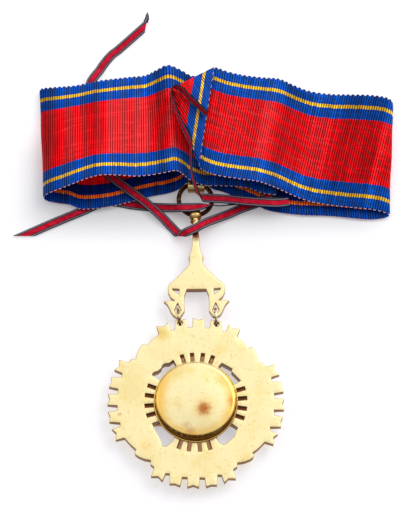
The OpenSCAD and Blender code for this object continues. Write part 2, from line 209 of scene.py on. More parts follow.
# Its ribs' direction and stretch, and its lift: everywhere, away from its folds, and in its middle.
FLAP_WAY = (0.85, 0.525)
FLAP_STRETCH = 1.05
FLAP_LIFT = 0.75
FLAP_SWELL = 0.55
FLAP_SWELL_W = 2.5
FLAP_CROWN = 0.3
FLAP_ROWS = 60
FLAP_COLUMNS = 120

# Tie tapes, as in the part: x, y, z of the middle line, heading and tilt of the line across.
TIE_RIGHT = [
    (3.8, 98.3, 12, 16, 68),
    (1.3, 100.5, 12.6, 16, 68),
    (-1, 102.5, 13.3, 15, 67),
    (-3, 104.4, 13.9, 15, 67),
    (-4.7, 106, 14.5, 14, 68),
    (-6.3, 106.9, 14.8, 10, 68),
    (-7.7, 107, 14.6, 0, 69),
    (-8.5, 106.1, 14.2, -20, 69),
    (-8.5, 104.7, 13.7, -34, 69),
    (-7.7, 102.9, 13.1, -38, 69),
    (-7, 100.6, 12.8, -34, 69),
    (-6.2, 98, 12.8, -26, 68),
    (-5.1, 95.3, 12.8, -16, 66),
    (-3.8, 92.4, 12.7, -8, 63),
    (-2.7, 90, 12.7, -10, 62),
    (-1.9, 87.9, 12.5, -28, 64),
    (-1.5, 85.8, 12.1, -52, 68),
    (-1.5, 83.2, 11.7, -65, 69),
    (-1.5, 80.7, 11.2, -65, 69),
    (-1.4, 78.2, 11.2, -58, 69),
    (-1, 76.2, 10.9, -47, 69),
    (-0.4, 74.4, 9.6, -36, 67),
    (0.2, 72.8, 8, -36, 62),
    (0.9, 71.6, 6.4, -50, 45),
    (1.8, 71.1, 5.2, -75, 15),
    (3.3, 71, 4.8, -88, 0),
    (9.7, 70.7, 4.6, -92, 0),
    (16.4, 70.1, 4.35, -94, 0),
    (22, 69.7, 4.15, -93, 0),
    (26.4, 69.5, 4.05, -90, 0),
    (29, 69.7, 4, -87, 0),
    (30.8, 70.2, 3.4, -85, 5),
    (29, 70.4, 2.8, -88, 0),
    (24.1, 70.4, 2.9, -90, 0),
    (18.7, 70.4, 2.95, -90, 0),
    (14.7, 70.3, 2.5, -90, 38),
    (10.5, 69.4, 2.2, -90, 68),
    (7.6, 68.7, 3.5, -90, 70),
    (5.3, 68.5, 4.7, -90, 68),
    (3, 68, 5, -90, 42),
    (1.3, 67.9, 4.9, -90, 22),
    (-0.3, 67.7, 4.9, -90, 10),
    (-2.7, 67.6, 4.8, -90, 0),
    (-5.3, 67.8, 4.2, -92, 0),
    (-8, 68.6, 1.7, -95, 0),
    (-10.4, 69.1, 0.6, -95, 0),
    (-15.4, 69.4, 0.45, -95, 0),
    (-22.1, 70.2, 0.45, -97, 0),
    (-25.5, 70.9, 0.45, -96, 0),
    (-28.4, 71.2, 0.45, -88, 0),
    (-31, 70.9, 0.45, -75, 0),
    (-33.9, 69.9, 0.45, -68, 0),
    (-37.2, 68.3, 0.45, -65, 0),
    (-42.2, 66.1, 0.5, -65, 0),
    (-48.9, 63.1, 0.5, -65, 0),
    (-57.5, 59.1, 0.5, -65, 0),
]
TIE_LEFT = [
    (28.5, 78.3, 2.4, -42, 0),
    (26.3, 75.5, 2.1, -40, 12),
    (23.6, 72.4, 1.75, -42, 5),
    (20.7, 70.4, 1.7, -50, 0),
    (17.7, 69.3, 1.55, -60, 0),
    (14.7, 68.3, 1.3, -64, 0),
    (11.4, 66.8, 1.2, -66, 0),
    (8, 65.4, 1.3, -65, 0),
    (5, 63.7, 2.8, -64, 0),
    (2.3, 61.8, 4.7, -64, 0),
    (-0.3, 60.2, 4.9, -64, 0),
    (-2.5, 59.2, 4.8, -60, 0),
    (-4.3, 58.7, 3.6, -35, 0),
    (-5.1, 58.5, 2.3, -7, 0),
    (-5.8, 59.4, 1.1, 25, 0),
    (-7.3, 61.2, 0.7, 46, 0),
    (-8.9, 62.9, 0.7, 48, 0),
    (-11.1, 65.2, 1.3, 48, 0),
    (-13.4, 67.4, 1.6, 50, 0),
    (-15.4, 69.2, 1.7, 50, 0),
    (-17.8, 71.1, 2.4, 51, 0),
    (-20.5, 73, 2.9, 52, 8),
    (-23.8, 75.6, 2.95, 52, 14),
    (-27.2, 78.3, 2.9, 46, 15),
    (-29.6, 81.3, 2.8, 36, 10),
    (-31.5, 87, 2.6, 18, 0),
    (-33.4, 94.5, 2.4, 10, 0),
    (-35, 103.6, 2.2, 6, 0),
    (-36.2, 110, 2, -8, 0),
    (-35.8, 113.5, 1.9, -28, 0),
    (-34.6, 115.9, 1.6, -33, 0),
    (-32.8, 118.7, 0.8, -34, 0),
    (-31.1, 121.5, 0.5, -37, 0),
    (-28.7, 124.5, 0.5, -46, 0),
    (-26, 126.8, 0.5, -48, 0),
    (-17.2, 135.2, 0.6, -46, 0),
]
TAPE_W = 3.2
# Pitch and height of the ribs.
TAPE_RIBS = (0.5, 0.04)
# Length by which an edge is carried on for a slanted end, and the stretch over which the slant begins.
END_REACH = 6.0
SLANT_FROM = 16.0
# Slant of the cut across each tape's free end, in degrees.
TIE_RIGHT_LEAN = 65
TIE_LEFT_LEAN = 52
# Frayed corner of the left tape: both of its edges, x, y, z, from the tape to the tip.
FRAYED_CORNER = [
    (-16.7, 135.9, 0.95, -18, 136.8, 0.95),
    (-16.2, 137.3, 1.1, -17.5, 137.8, 1.2),
    (-16.2, 138.5, 1.4, -17.2, 138.8, 1.5),
    (-16.5, 139.6, 1.7, -16.8, 139.6, 1.8),
]
FRAYED_W = 0.8

# Worn band along the edges of the plates: its width, how far the edge drops in it, and the step along it.
EDGE_BAND = 0.26
EDGE_DROP = 0.05
EDGE_STEP = 0.6
# How far the inner points of a plate keep from its edges, as shares of the spacing and of the band.
GRID_CLEAR = 0.55
BAND_CLEAR = 0.9
PLATE_SPACING = 1.5
GABLE_SPACING = 3.0

# Spots on the gilding: x, y, radius, strength, and the setting that gives the colour.
STAR_SPOTS = [
    (-11.2, 23.5, 4, 0.9, "tarnish"),
    (-21, 4, 7, 0.35, "tarnish"),
    (-25, -4.2, 1, 0.4, "stain"),
    (8, 17.5, 3.5, 0.35, "tarnish"),
    (-16, -15, 4, 0.3, "rich_gilding_and_reflection"),
    (17, -19, 4, 0.3, "tarnish"),
]
BOSS_SPOTS = [
    (2.6, -3.1, 5, 0.55, "rich_gilding_and_reflection"),
    (2.6, -3.1, 3.3, 0.95, "stain"),
    (-2, -10.6, 2.4, 0.4, "stain"),
    (-2.8, -8.3, 1.6, 0.25, "stain"),
    (8.4, 6.8, 3.2, 0.5, "rich_gilding_and_reflection"),
    (12.4, -0.5, 3, 0.45, "stain"),
    (-6, 9.4, 3.4, 0.5, "tarnish"),
    (3.7, 6.4, 1.1, 0.6, "tarnish"),
    (6.5, -9, 3.5, 0.35, "tarnish"),
]
# The first hanger spot is a painted dark red reflection and shade of the red tape on the spire's tip.
HANGER_SPOTS = [
    (0, 58.3, 3.2, 1, "tape_reflection_shade"),
    (-2.9, 50, 1, 0.8, "grime_and_shade"),
    (-0.2, 65.4, 3.6, 0.7, "rich_gilding_and_reflection"),
    (2.6, 50.5, 0.9, 0.8, "grime_and_shade"),
    # Painted shade in the crevices and on the lower side of the ball.
    (-1.2, 63, 1.1, 0.9, "grime_and_shade"),
    (0.9, 66.5, 1.2, 0.9, "grime_and_shade"),
]

# Patterns: scale, detail and roughness of the noise, and the levels from which it shows and is full.
FILM_PATCHES = (0.16, 4, 0.6, 0.45, 0.75)
SPECKS = (0.8, 3, 0.7, 0.58, 0.7)
SCRATCHES = (1.2, 3, 0.7, 0.6, 0.68)
PITS = (1.6, 2, 0.8, 0.66, 0.74)
CRIMSON_PATCHES = (0.5, 3, 0.6, 0.35, 0.7)
# Plain noise: its scale, detail and roughness.
SPOT_RAG = (0.9, 3, 0.7)
RIM_RAG = (0.35, 3, 0.6)
EDGE_RAG = (0.9, 2, 0.5)
METAL_GRAIN = (7, 2, 0.6)
WIRE_GRAIN = (5, 3, 0.7)
TAPE_RAG = (1.4, 2, 0.6)
TAPE_FIBRE = (6, 2, 0.6)
SILK_FIBRE = (1, 2, 0.6)
# Strengths of what lies on the gilding.
SPECK_STRENGTH = 0.75
SCRATCH_STRENGTH = 0.6
PIT_STRENGTH = 0.35
# The edge strength is for the painted dark outline along the plates' edges, standing in for their shade.
EDGE_SHADE_STRENGTH = 0.8
# Relief of the gilding's grain, scratches and pits, and how much the film and the scratches dull it.
GRAIN_RELIEF = 0.25
SCRATCH_RELIEF = -0.3
PIT_RELIEF = -0.8
FILM_DULLS = 0.1
SCRATCH_DULLS = 0.08
SCRATCH_STRETCH = (3, 0.12, 1)
SCRATCH_TURN = 0.6
# Upward share of a face's normal up to which painted shade covers it, and from which it is clean.
STEEP = (0.55, 0.97)
# Boss: radii and places in Y over which its gold turns rich as painted reflection, radii over which
# painted shade gathers at its lip, and how far the painted shade reaches from its seam.
RIM_REFLECTION_R = (8.0, 12.2)
LOWER_REFLECTION_Y = (-5.0, -11.5)
LIP_SHADE_R = (13.2, 13.7)
SEAM_SHADE_REACH = (0.05, 0.16)
# Slight waves of a surface: height, length, and where they start.
STAR_WAVES = (0.06, 6, 0.3)
BOSS_WAVES = (0.05, 5, 4.0)
WIRE_WOBBLE = 0.006
# Gold shows on the wires where the noise is above these levels, less their wear.
WIRE_RAG = (0.8, 3, 0.6, 0.4)
WIRE_LEVELS = (1.03, 1.18)
WIRE_ROUGH = (0.42, 0.25)

# Steps of the smooth run between two rows of a table.
ROW_STEPS = 12
FRAY_STEPS = 8
# Thickness of a strip one point in from its edge, as a share.
EDGE_FADE = 0.72
# Swing of the ribbon's lower and upper selvage.
SILK_SCALLOPS = (0.3, 0.6)
# Drape of the silk: height, length and width of its waves, where they start, and rows that a fold takes.
DRAPE = 0.35
DRAPE_LONG = 11
DRAPE_WIDE = 14
DRAPE_START = 2.0
FOLD_SPREAD = 9
# Borders of the ribbon, from its edge inwards: where the yellow line starts and ends, and the red starts.
LINE_AT = 3.6
LINE_END = 4.85
RED_AT = 8.55
# The same for the tapes: the pale line and the crimson.
PALE_AT = 0.27
PALE_END = 0.6
CRIMSON_AT = 0.85
# Half of the width over which one stripe turns into the next.
STRIPE_SOFT = 0.05
# Ribs of the silk: how far the stripes wander from rib to rib, and where the valley between two starts.
RIB_WANDER = 0.16
RIB_VALLEY = (0.2, 0.85)
TAPE_WANDER = 0.12
# How the silk darkens or lightens, as factor and addend: painted shade in the valleys, from rib to rib,
# in streaks, where it is watered, and painted light and shade where a soft fold tilts it.
VALLEY_SHADE = (-1.35, 1.6)
RIB_SHADE = (0.4, 0.8)
STREAK_SHADE = (1.3, 0.35)
WATERED_SHADE = (0.28, 0.87)
TILT_SHADE = (0.95, 1.0)
# Steps of the streaks from rib to rib and across, and of the watering along and across.
STREAK_STEPS = (3.7, 0.09)
WATER_STEPS = (0.055, 0.5)
WATER_WAVES = (1, 3, 0.55, 1.6)
WATER_LEVELS = (0.5, 0.62)
FIBRE_STRETCH = (1.2, 7, 1)
SILK_ROUGH = (0.42, 0.6)
SILK_GLOSS = 0.07
# Thread loops on the selvage: where a loop ends and the next gap starts, and the width of the rim.
LOOP_GAP = (0.38, 0.6)
RIM_SHARE = (0.35, 0.8)
# Picks of the tapes for each millimetre, and where the gap between two starts.
PICKS = 2.2
PICK_GAP = (0.4, 1)
TAPE_ROUGH = 0.6
TAPE_GLOSS = 0.06
# Painted pale sheen where the silk is tilted to the light, its share on the blue, and the lower face's
# painted red bounce light and shade.
SHEEN_COLOUR = (0.95, 0.4, 0.42)
TILT_SHEEN = 0.42
BLUE_SHEEN = 0.08
INNER_BOUNCE = (1.7, 0.3, 0.5)

# Stage: what the camera looks at, the height of the photo's frame, and the lamps (place, size, power).
TARGET = (3.0, 49.5, 0)
FRAME_PIXELS = 527
PIXELS_PER_MM = 3
SENSOR = 36
FLOOR_HALF = 1.5
LAMPS = {"key": ((0.85, 0.7, 0.9), 1.0, 8.5), "side": ((-1.2, 0.3, 0.8), 0.5, 0.6)}
# Soft shade on the floor: colours and glow, where it lies under the star's slots, and below the ribbon
# its strength and the places where it starts, is full, starts to fade and ends.
SHADE_COLOUR = (0.5, 0.3, 0.17)
SHADE_GLOW = (1.0, 0.55, 0.28)
FLOOR_GLOW = (0.97, 0.95, 1.0)
SLOT_SHADE_HALF = (6.6, 7.4)
SLOT_SHADE_R = (17.5, 18.5)
RIBBON_SHADE = 0.28
RIBBON_SHADE_X = (-68, -45, 52, 70)
RIBBON_SHADE_Y = (53, 69, 85, 100)
# Studio light: how much it grows to the sides, behind and above, over which range, and its strengths.
SKY_SIDE = 0.35
SKY_BACK = 0.8
SKY_UP = 0.6
SKY_RANGE = (0.25, 0.9)
SKY_LIGHT = (0.3, 1.06)


def colour_property(name, description, default):
    return FloatVectorProperty(
        name=name, description=description, default=default, subtype="COLOR", size=3, min=0, max=1
    )


def length_property(name, description, default, low, high):
    return FloatProperty(
        name=name, description=description, default=default * MM, min=low * MM, max=high * MM,
        unit="LENGTH", subtype="DISTANCE",
    )


class MetalSettings(bpy.types.PropertyGroup):
    """Edges and finishes of the metal pieces."""

    edge_round: length_property("Edge rounding", "Radius on the worn edges", 0.26, 0.03, 0.3)
    gilding: colour_property("Gilding", "Pale worn gold", (0.97, 0.84, 0.47))
    # Also the painted reflection towards the rim, sides and lower side of the boss.
    rich_gilding_and_reflection: colour_property("Rich gilding", "Gold where it isn't worn", (0.92, 0.57, 0.13))
    tarnish: colour_property("Tarnish", "Film in patches", (0.83, 0.62, 0.2))
    # Real grime in the pits and on the links; painted shade on walls, edges and in the ball's crevices.
    grime_and_shade: colour_property("Grime", "Brown film on walls and in corners", (0.24, 0.095, 0.015))
    # Painted shade under the lip of the boss and along its seam.
    lip_and_seam_shade: colour_property("Deep grime", "Dark film under the lip of the boss", (0.12, 0.04, 0.004))
    stain: colour_property("Stain", "Red-brown spots", (0.5, 0.14, 0.03))
    # Painted dark red reflection and shade of the red tape on the spire's tip.
    tape_reflection_shade: colour_property("Solder", "Red-brown patch at the tip of the spire", (0.16, 0.02, 0.01))
    # Painted shade: the large ring lies in the ribbon's shade and is coloured nearly black.
    shaded_ring_wire: colour_property("Dark wire", "The large ring", (0.05, 0.018, 0.008))


class RibbonSettings(bpy.types.PropertyGroup):
    """Weave and colours of the neck ribbon."""

    thickness: length_property("Thickness", "Silk from face to face", 0.5, 0.3, 0.8)
    rib_pitch: length_property("Rib pitch", "From one rib to the next", 0.8, 0.6, 1.2)
    rib_height: length_property("Rib height", "Depth of the valleys", 0.14, 0.02, 0.2)
    red: colour_property("Red", "Middle field", (0.79, 0.002, 0.006))
    blue: colour_property("Blue", "Border stripes", (0.0, 0.068, 0.4))
    yellow: colour_property("Yellow", "Line in each border", (0.85, 0.47, 0.02))
    selvage: colour_property("Selvage", "Thread loops on the lower edge", (0.9, 0.55, 0.62))
    dark_selvage: colour_property("Dark selvage", "Between the loops", (0.08, 0.005, 0.03))


class TapeSettings(bpy.types.PropertyGroup):
    """Weave and colours of the tie tapes."""

    thickness: length_property("Thickness", "Tape from face to face", 0.4, 0.2, 0.7)
    crimson: colour_property("Crimson", "Middle of the tape", (0.52, 0.003, 0.024))
    pale: colour_property("Pale line", "Fine line near each edge", (0.22, 0.2, 0.25))
    dark: colour_property("Dark edge", "Edges of the tape", (0.012, 0.012, 0.02))


class StageSettings(bpy.types.PropertyGroup):
    """Floor, light and camera."""

    floor: colour_property("Floor", "Pale surface", (0.62, 0.62, 0.62))
    elevation: FloatProperty(
        name="Camera elevation", description="Angle above the floor", default=math.radians(71),
        min=0.2, max=1.55, unit="ROTATION", subtype="ANGLE",
    )
    distance: FloatProperty(
        name="Camera distance", description="From the middle of the badge", default=1.1,
        min=0.5, max=3, unit="LENGTH", subtype="DISTANCE",
    )


# Outlines


def turned(points, degrees):
    c, s = math.cos(math.radians(degrees)), math.sin(math.radians(degrees))
    return [(x * c - y * s, x * s + y * c) for x, y in points]


def flipped(points):
    """Mirrored from right to left, in the reverse order."""
    return [(-x, y) for x, y in reversed(points)]


def crossed(points):
    """Mirrored in the diagonal, in the reverse order."""
    return [(y, x) for x, y in reversed(points)]


def round_points(radius, count, at=(0, 0), start=0.0, sweep=360.0):
    """Points along an arc, or all round a circle."""
    spread = count if sweep == 360.0 else count - 1
    angles = [math.radians(start + sweep * i / spread) for i in range(count)]
    return [(at[0] + radius * math.cos(a), at[1] + radius * math.sin(a)) for a in angles]


def inside(point, loop):
    """True if the point is inside the closed loop."""
    x, y = point
    found = False
    for (ax, ay), (bx, by) in zip(loop, loop[1:] + loop[:1]):
        if (ay > y) != (by > y) and x < (bx - ax) * (y - ay) / (by - ay) + ax:
            found = not found
    return found


def edge_distance(point, loops):
    """Distance from the point to the nearest side of any loop."""
    p = Vector(point)
    nearest = math.inf
    for loop in loops:
        for a, b in zip(loop, loop[1:] + loop[:1]):
            q, share = geometry.intersect_point_line(p, Vector(a), Vector(b))
            q = Vector(a) if share < 0 else Vector(b) if share > 1 else q.to_2d()
            nearest = min(nearest, (p - q.to_2d()).length)
    return nearest


def split_long(loop, longest):
    """The loop with its long sides split, so that faces stay even."""
    points = []
    for a, b in zip(loop, loop[1:] + loop[:1]):
        count = max(1, math.ceil(math.dist(a, b) / longest))
        points += [
            (a[0] + (b[0] - a[0]) * i / count, a[1] + (b[1] - a[1]) * i / count) for i in range(count)
        ]
    return points


def beside_edges(loops):
    """Points close to both sides of every loop, at even steps along it and at its corners."""
    points = []
    for loop in loops:
        corners = [Vector(p) for p in loop]
        for a, b, c in zip(corners, corners[1:] + corners[:1], corners[2:] + corners[:2]):
            out = (b - a).orthogonal().normalized()
            count = max(1, round((b - a).length / EDGE_STEP))
            places = [(a.lerp(b, (i + 0.5) / count), out) for i in range(count)]
            places.append((b, (out + (c - b).orthogonal().normalized()).normalized()))
            for place, way in places:
                points += [tuple(place + way * EDGE_BAND), tuple(place - way * EDGE_BAND)]
    return points


def grid_points(outline, spacing):
    """The corners of even triangles, all over the outline's box."""
    xs, ys = zip(*outline)
    row_step = spacing * math.sqrt(3) / 2
    points = []
    for row in range(int((max(ys) - min(ys)) / row_step) + 1):
        for column in range(int((max(xs) - min(xs)) / spacing) + 1):
            points.append((min(xs) + (column + 0.5 * (row % 2)) * spacing, min(ys) + row * row_step))
    return points


# Solids


def uneven(x, y, waves):
    """Slight waves of a surface, from their height, length and start."""
    height, length, start = waves
    return height * (noise.noise(Vector((x / length, y / length, start))) - 0.5)


def mesh_of(bm, name):
    mesh = bpy.data.meshes.new(name)
    bm.to_mesh(mesh)
    bm.free()
    return mesh


def joined(meshes):
    bm = bmesh.new()
    for mesh in meshes:
        bm.from_mesh(mesh)
    return mesh_of(bm, "joined")


def plate(outline, holes, top, base, spacing):
    """A plate with holes. top and base give the height of each face at x, y.

    The border attribute is 1 on the upper edges and falls to 0 a short way in.
    """

    def within(point):
        return inside(point, outline) and not any(inside(point, hole) for hole in holes)

    loops = [split_long(loop, spacing) for loop in [outline, *holes]]
    points = [p for loop in loops for p in loop]
    sides = []
    first = 0
    for loop in loops:
        n = len(loop)
        sides += [(first + i, first + (i + 1) % n) for i in range(n)]
        first += n
    for inner, clear in (
        (grid_points(outline, spacing), GRID_CLEAR * spacing),
        (beside_edges(loops), BAND_CLEAR * EDGE_BAND),
    ):
        points += [p for p in inner if within(p) and edge_distance(p, loops) > clear]
    cut = geometry.delaunay_2d_cdt([Vector(p) for p in points], sides, [], 0, 1e-6)
    found, faces = cut[0], cut[2]
    on_edge = [any(i < first for i in sources) for sources in cut[3]]
    bm = bmesh.new()
    border = bm.verts.layers.float.new("border")
    upper = [bm.verts.new((p.x, p.y, top(p.x, p.y) - EDGE_DROP * e)) for p, e in zip(found, on_edge)]
    lower = [bm.verts.new((p.x, p.y, base(p.x, p.y))) for p in found]
    for vert, edge in zip(upper, on_edge):
        vert[border] = float(edge)
    for face in faces:
        middle = sum((found[i] for i in face), Vector((0, 0))) / len(face)
        if within(middle):
            bm.faces.new([upper[i] for i in face])
            bm.faces.new([lower[i] for i in reversed(face)])
    place = {vert: i for i, vert in enumerate(upper)}
    rims = [e for e in bm.edges if len(e.link_faces) == 1 and e.verts[0] in place]
    for e in rims:
        loop = e.link_loops[0]
        a, b = place[loop.vert], place[loop.link_loop_next.vert]
        bm.faces.new([upper[b], upper[a], lower[a], lower[b]])
    bmesh.ops.delete(bm, geom=[v for v in bm.verts if not v.link_faces], context="VERTS")
    bmesh.ops.recalc_face_normals(bm, faces=bm.faces)
    return mesh_of(bm, "plate")


def lathe(profile, sides, closed=False):
    """A surface of revolution about Z from a profile of radius and height.

    The profile has a point on the axis at each end, or is closed.
    """
    bm = bmesh.new()
    rings = []
    for r, z in profile:
        around = round_points(r, sides) if r > 1e-6 else [(0, 0)]
        rings.append([bm.verts.new((x, y, z)) for x, y in around])
    pairs = list(zip(rings, rings[1:])) + ([(rings[-1], rings[0])] if closed else [])
    for a, b in pairs:
        for i in range(sides):
            j = (i + 1) % sides
            corners = [a[i % len(a)], a[j % len(a)], b[j % len(b)], b[i % len(b)]]
            bm.faces.new(list(dict.fromkeys(corners)))
    bmesh.ops.recalc_face_normals(bm, faces=bm.faces)
    return mesh_of(bm, "lathe")


def sweep_section(path, section, closed):
    """A bar. path is a list of point, side and up, section a list of places across and up."""
    bm = bmesh.new()
    rings = []
    for point, side, up in path:
        rings.append([bm.verts.new(point + side * a + up * b) for a, b in section])
    n = len(section)
    pairs = list(zip(rings, rings[1:])) + ([(rings[-1], rings[0])] if closed else [])
    for a, b in pairs:
        for i in range(n):
            j = (i + 1) % n
            bm.faces.new([a[i], a[j], b[j], b[i]])
    if not closed:
        bm.faces.new(rings[0])
        bm.faces.new(list(reversed(rings[-1])))
    bmesh.ops.recalc_face_normals(bm, faces=bm.faces)
    return mesh_of(bm, "sweep")


def temporary(mesh):
    thing = bpy.data.objects.new("temporary", mesh)
    bpy.context.scene.collection.objects.link(thing)
    return thing


def with_modifier(mesh, kind, **settings):
    """The mesh after one modifier."""
    thing = temporary(mesh)
    modifier = thing.modifiers.new("change", kind)
    for key, value in settings.items():
        setattr(modifier, key, value)
    depsgraph = bpy.context.evaluated_depsgraph_get()
    result = bpy.data.meshes.new_from_object(thing.evaluated_get(depsgraph))
    bpy.data.objects.remove(thing)
    return result


def combined(mesh, other, operation):
    """Boolean of two closed meshes."""
    tool = temporary(other)
    result = with_modifier(mesh, "BOOLEAN", operation=operation, object=tool, solver="EXACT")
    bpy.data.objects.remove(tool)
    return result


def rounded(mesh, width, sharper_than=35):
    """The mesh with its sharp edges rounded."""
    return with_modifier(
        mesh, "BEVEL", width=width, segments=2, limit_method="ANGLE",
        angle_limit=math.radians(sharper_than), use_clamp_overlap=True, miter_outer="MITER_ARC",
    )


def add_piece(name, mesh, material, node, sharp_degrees):
    """Scales the mesh to metres and adds it as a piece that stands for the node."""
    mesh.transform(Matrix.Scale(MM, 4))
    mesh.polygons.foreach_set("use_smooth", [True] * len(mesh.polygons))
    mesh.set_sharp_from_angle(angle=math.radians(sharp_degrees))
    mesh.name = name
    mesh.materials.clear()
    mesh.materials.append(material)
    piece = bpy.data.objects.new(name, mesh)
    bpy.context.scene.collection.objects.link(piece)
    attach(piece, "root")
    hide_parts(node)
    return piece


# Materials


class Shading:
    """The nodes of a material or a world, joined as they are added."""

    def __init__(self, owner):
        self.owner = owner
        owner.use_nodes = True
        self.tree = owner.node_tree

    def put(self, socket, value):
        if isinstance(value, bpy.types.NodeSocket):
            self.tree.links.new(value, socket)
        elif socket.type == "RGBA":
            socket.default_value = (*value, 1)
        else:
            socket.default_value = value

    def node(self, kind, inputs=(), **settings):
        made = self.tree.nodes.new("ShaderNode" + kind)
        for key, value in settings.items():
            setattr(made, key, value)
        for key, value in dict(inputs).items():
            self.put(made.inputs[key], value)
        return made

    def math(self, operation, a, b=0.0, c=0.0, clamp=False):
        made = self.node("Math", {0: a, 1: b, 2: c}, operation=operation, use_clamp=clamp)
        return made.outputs[0]

    def vector(self, operation, inputs, result="Vector"):
        return self.node("VectorMath", inputs, operation=operation).outputs[result]

    def parts(self, vector):
        """The X, Y and Z of a vector."""
        return self.node("SeparateXYZ", {0: vector}).outputs

    def attribute(self, name, result="Vector"):
        return self.node("Attribute", attribute_name=name).outputs[result]

    def stretched(self, vector, scale, turn=0.0):
        made = self.node("Mapping", {"Vector": vector, "Rotation": (0, 0, turn), "Scale": scale})
        return made.outputs[0]

    def steps(self, along, across, sizes):
        """A place in the noise from a place along and across the cloth."""
        scaled = {i: self.math("MULTIPLY", v, sizes[i]) for i, v in enumerate((along, across))}
        return self.node("CombineXYZ", scaled).outputs[0]

    def mix(self, share, a, b, blend="MIX"):
        made = self.node("Mix", data_type="RGBA", blend_type=blend)
        self.put(made.inputs["Factor"], share)
        self.put(made.inputs[6], a)
        self.put(made.inputs[7], b)
        return made.outputs[2]

    def film(self, base, mask, strength, colour):
        """The colour laid over the base where the mask is."""
        return self.mix(self.math("MULTIPLY", mask, strength), base, colour)

    def noise(self, vector, scale, detail=2.0, roughness=0.5, distortion=0.0):
        inputs = {
            "Vector": vector, "Scale": scale, "Detail": detail, "Roughness": roughness,
            "Distortion": distortion,
        }
        return self.node("TexNoise", inputs).outputs["Fac"]

    def between(self, value, low, high, to_low=0.0, to_high=1.0):
        """The value's smooth place between low and high, from to_low to to_high."""
        inputs = {"Value": value, "From Min": low, "From Max": high, "To Min": to_low, "To Max": to_high}
        return self.node("MapRange", inputs, interpolation_type="SMOOTHSTEP").outputs[0]

    def pattern(self, vector, settings):
        scale, detail, roughness, low, high = settings
        return self.between(self.noise(vector, scale, detail, roughness), low, high)

    def band(self, value, start, full, fading, end):
        """1 from full to fading, and 0 before start and after end."""
        return self.math("MULTIPLY", self.between(value, start, full), self.between(value, end, fading))

    def swing(self, value, size):
        """A value from 0 to 1, spread evenly to both sides of 0."""
        return self.math("MULTIPLY_ADD", value, size, -size / 2)

    def zigzag(self, value):
        """0 in the middle of each whole step of the value and 1 at its ends."""
        return self.math("ABSOLUTE", self.math("MULTIPLY_ADD", self.math("FRACT", value), 2, -1))

    def millimetres(self):
        """Place on the object, in millimetres."""
        place = self.node("TexCoord").outputs["Object"]
        return self.vector("SCALE", {0: place, "Scale": 1 / MM})

    def reach(self, place, at=(0, 0)):
        """Distance from a point, seen from above."""
        away = self.vector("SUBTRACT", {0: place, 1: (*at, 0)})
        flat = self.vector("MULTIPLY", {0: away, 1: (1, 1, 0)})
        return self.vector("LENGTH", {0: flat}, "Value")

    def bump(self, height, strength, distance):
        made = self.node("Bump", {"Height": height, "Strength": strength, "Distance": distance * MM})
        return made.outputs[0]

    def finish(self, shader, inputs):
        """Sets the shader's own sockets and gives back the material or world."""
        for key, value in inputs.items():
            self.put(self.tree.nodes[shader].inputs[key], value)
        return self.owner


def new_shading(name):
    return Shading(bpy.data.materials.new(name))


def gilt_material(name, metal, roughness, film, wall_shade=1.0, spots=(), boss=False):
    """Worn gilding: a film in patches, painted shade on walls and edges, fine scratches and pits.

    film and the wall argument give the strengths of the film and of the painted shade on steep faces.
    """
    s = new_shading(name)
    place = s.millimetres()
    normal = s.parts(s.node("NewGeometry").outputs["Normal"])
    patches = s.pattern(place, FILM_PATCHES)
    base = s.film(metal.gilding, patches, film, metal.tarnish)
    if boss:
        base = boss_tints(s, place, base, metal)
    base = s.film(base, s.pattern(place, SPECKS), SPECK_STRENGTH, metal.tarnish)
    for x, y, radius, strength, colour in spots:
        base = s.mix(stained(s, place, (x, y), radius, strength), base, getattr(metal, colour))
    scratches = s.pattern(s.stretched(place, SCRATCH_STRETCH, SCRATCH_TURN), SCRATCHES)
    base = s.film(base, scratches, SCRATCH_STRENGTH, metal.tarnish)
    # Painted shade: a dark outline along the plates' upper edges.
    border = s.math("ADD", s.attribute("border", "Fac"), s.swing(s.noise(place, *EDGE_RAG), 0.5))
    base = s.mix(s.between(border, 0.2, 0.75, 0.0, EDGE_SHADE_STRENGTH), base, metal.grime_and_shade)
    # Painted shade on walls and steep faces; on the boss, most on faces turned towards -Y.
    wall_shade_mask = s.between(s.math("ABSOLUTE", normal["Z"]), *STEEP, wall_shade, 0.0)
    if boss:
        wall_shade_mask = s.math("MULTIPLY", wall_shade_mask, s.between(normal["Y"], 0.15, -0.3, 0.2, 1.0))
    base = s.mix(wall_shade_mask, base, metal.grime_and_shade)
    pits = s.pattern(place, PITS)
    base = s.film(base, pits, PIT_STRENGTH, metal.grime_and_shade)
    height = s.math("MULTIPLY", s.noise(place, *METAL_GRAIN), GRAIN_RELIEF)
    height = s.math("MULTIPLY_ADD", scratches, SCRATCH_RELIEF, height)
    height = s.math("MULTIPLY_ADD", pits, PIT_RELIEF, height)
    rough = s.math("MULTIPLY_ADD", patches, FILM_DULLS, roughness)
    rough = s.math("MULTIPLY_ADD", scratches, SCRATCH_DULLS, rough)
    return s.finish(PRINCIPLED, {
        "Base Color": base, "Metallic": 1.0, "Roughness": rough, "Normal": s.bump(height, 0.5, 0.03),
    })


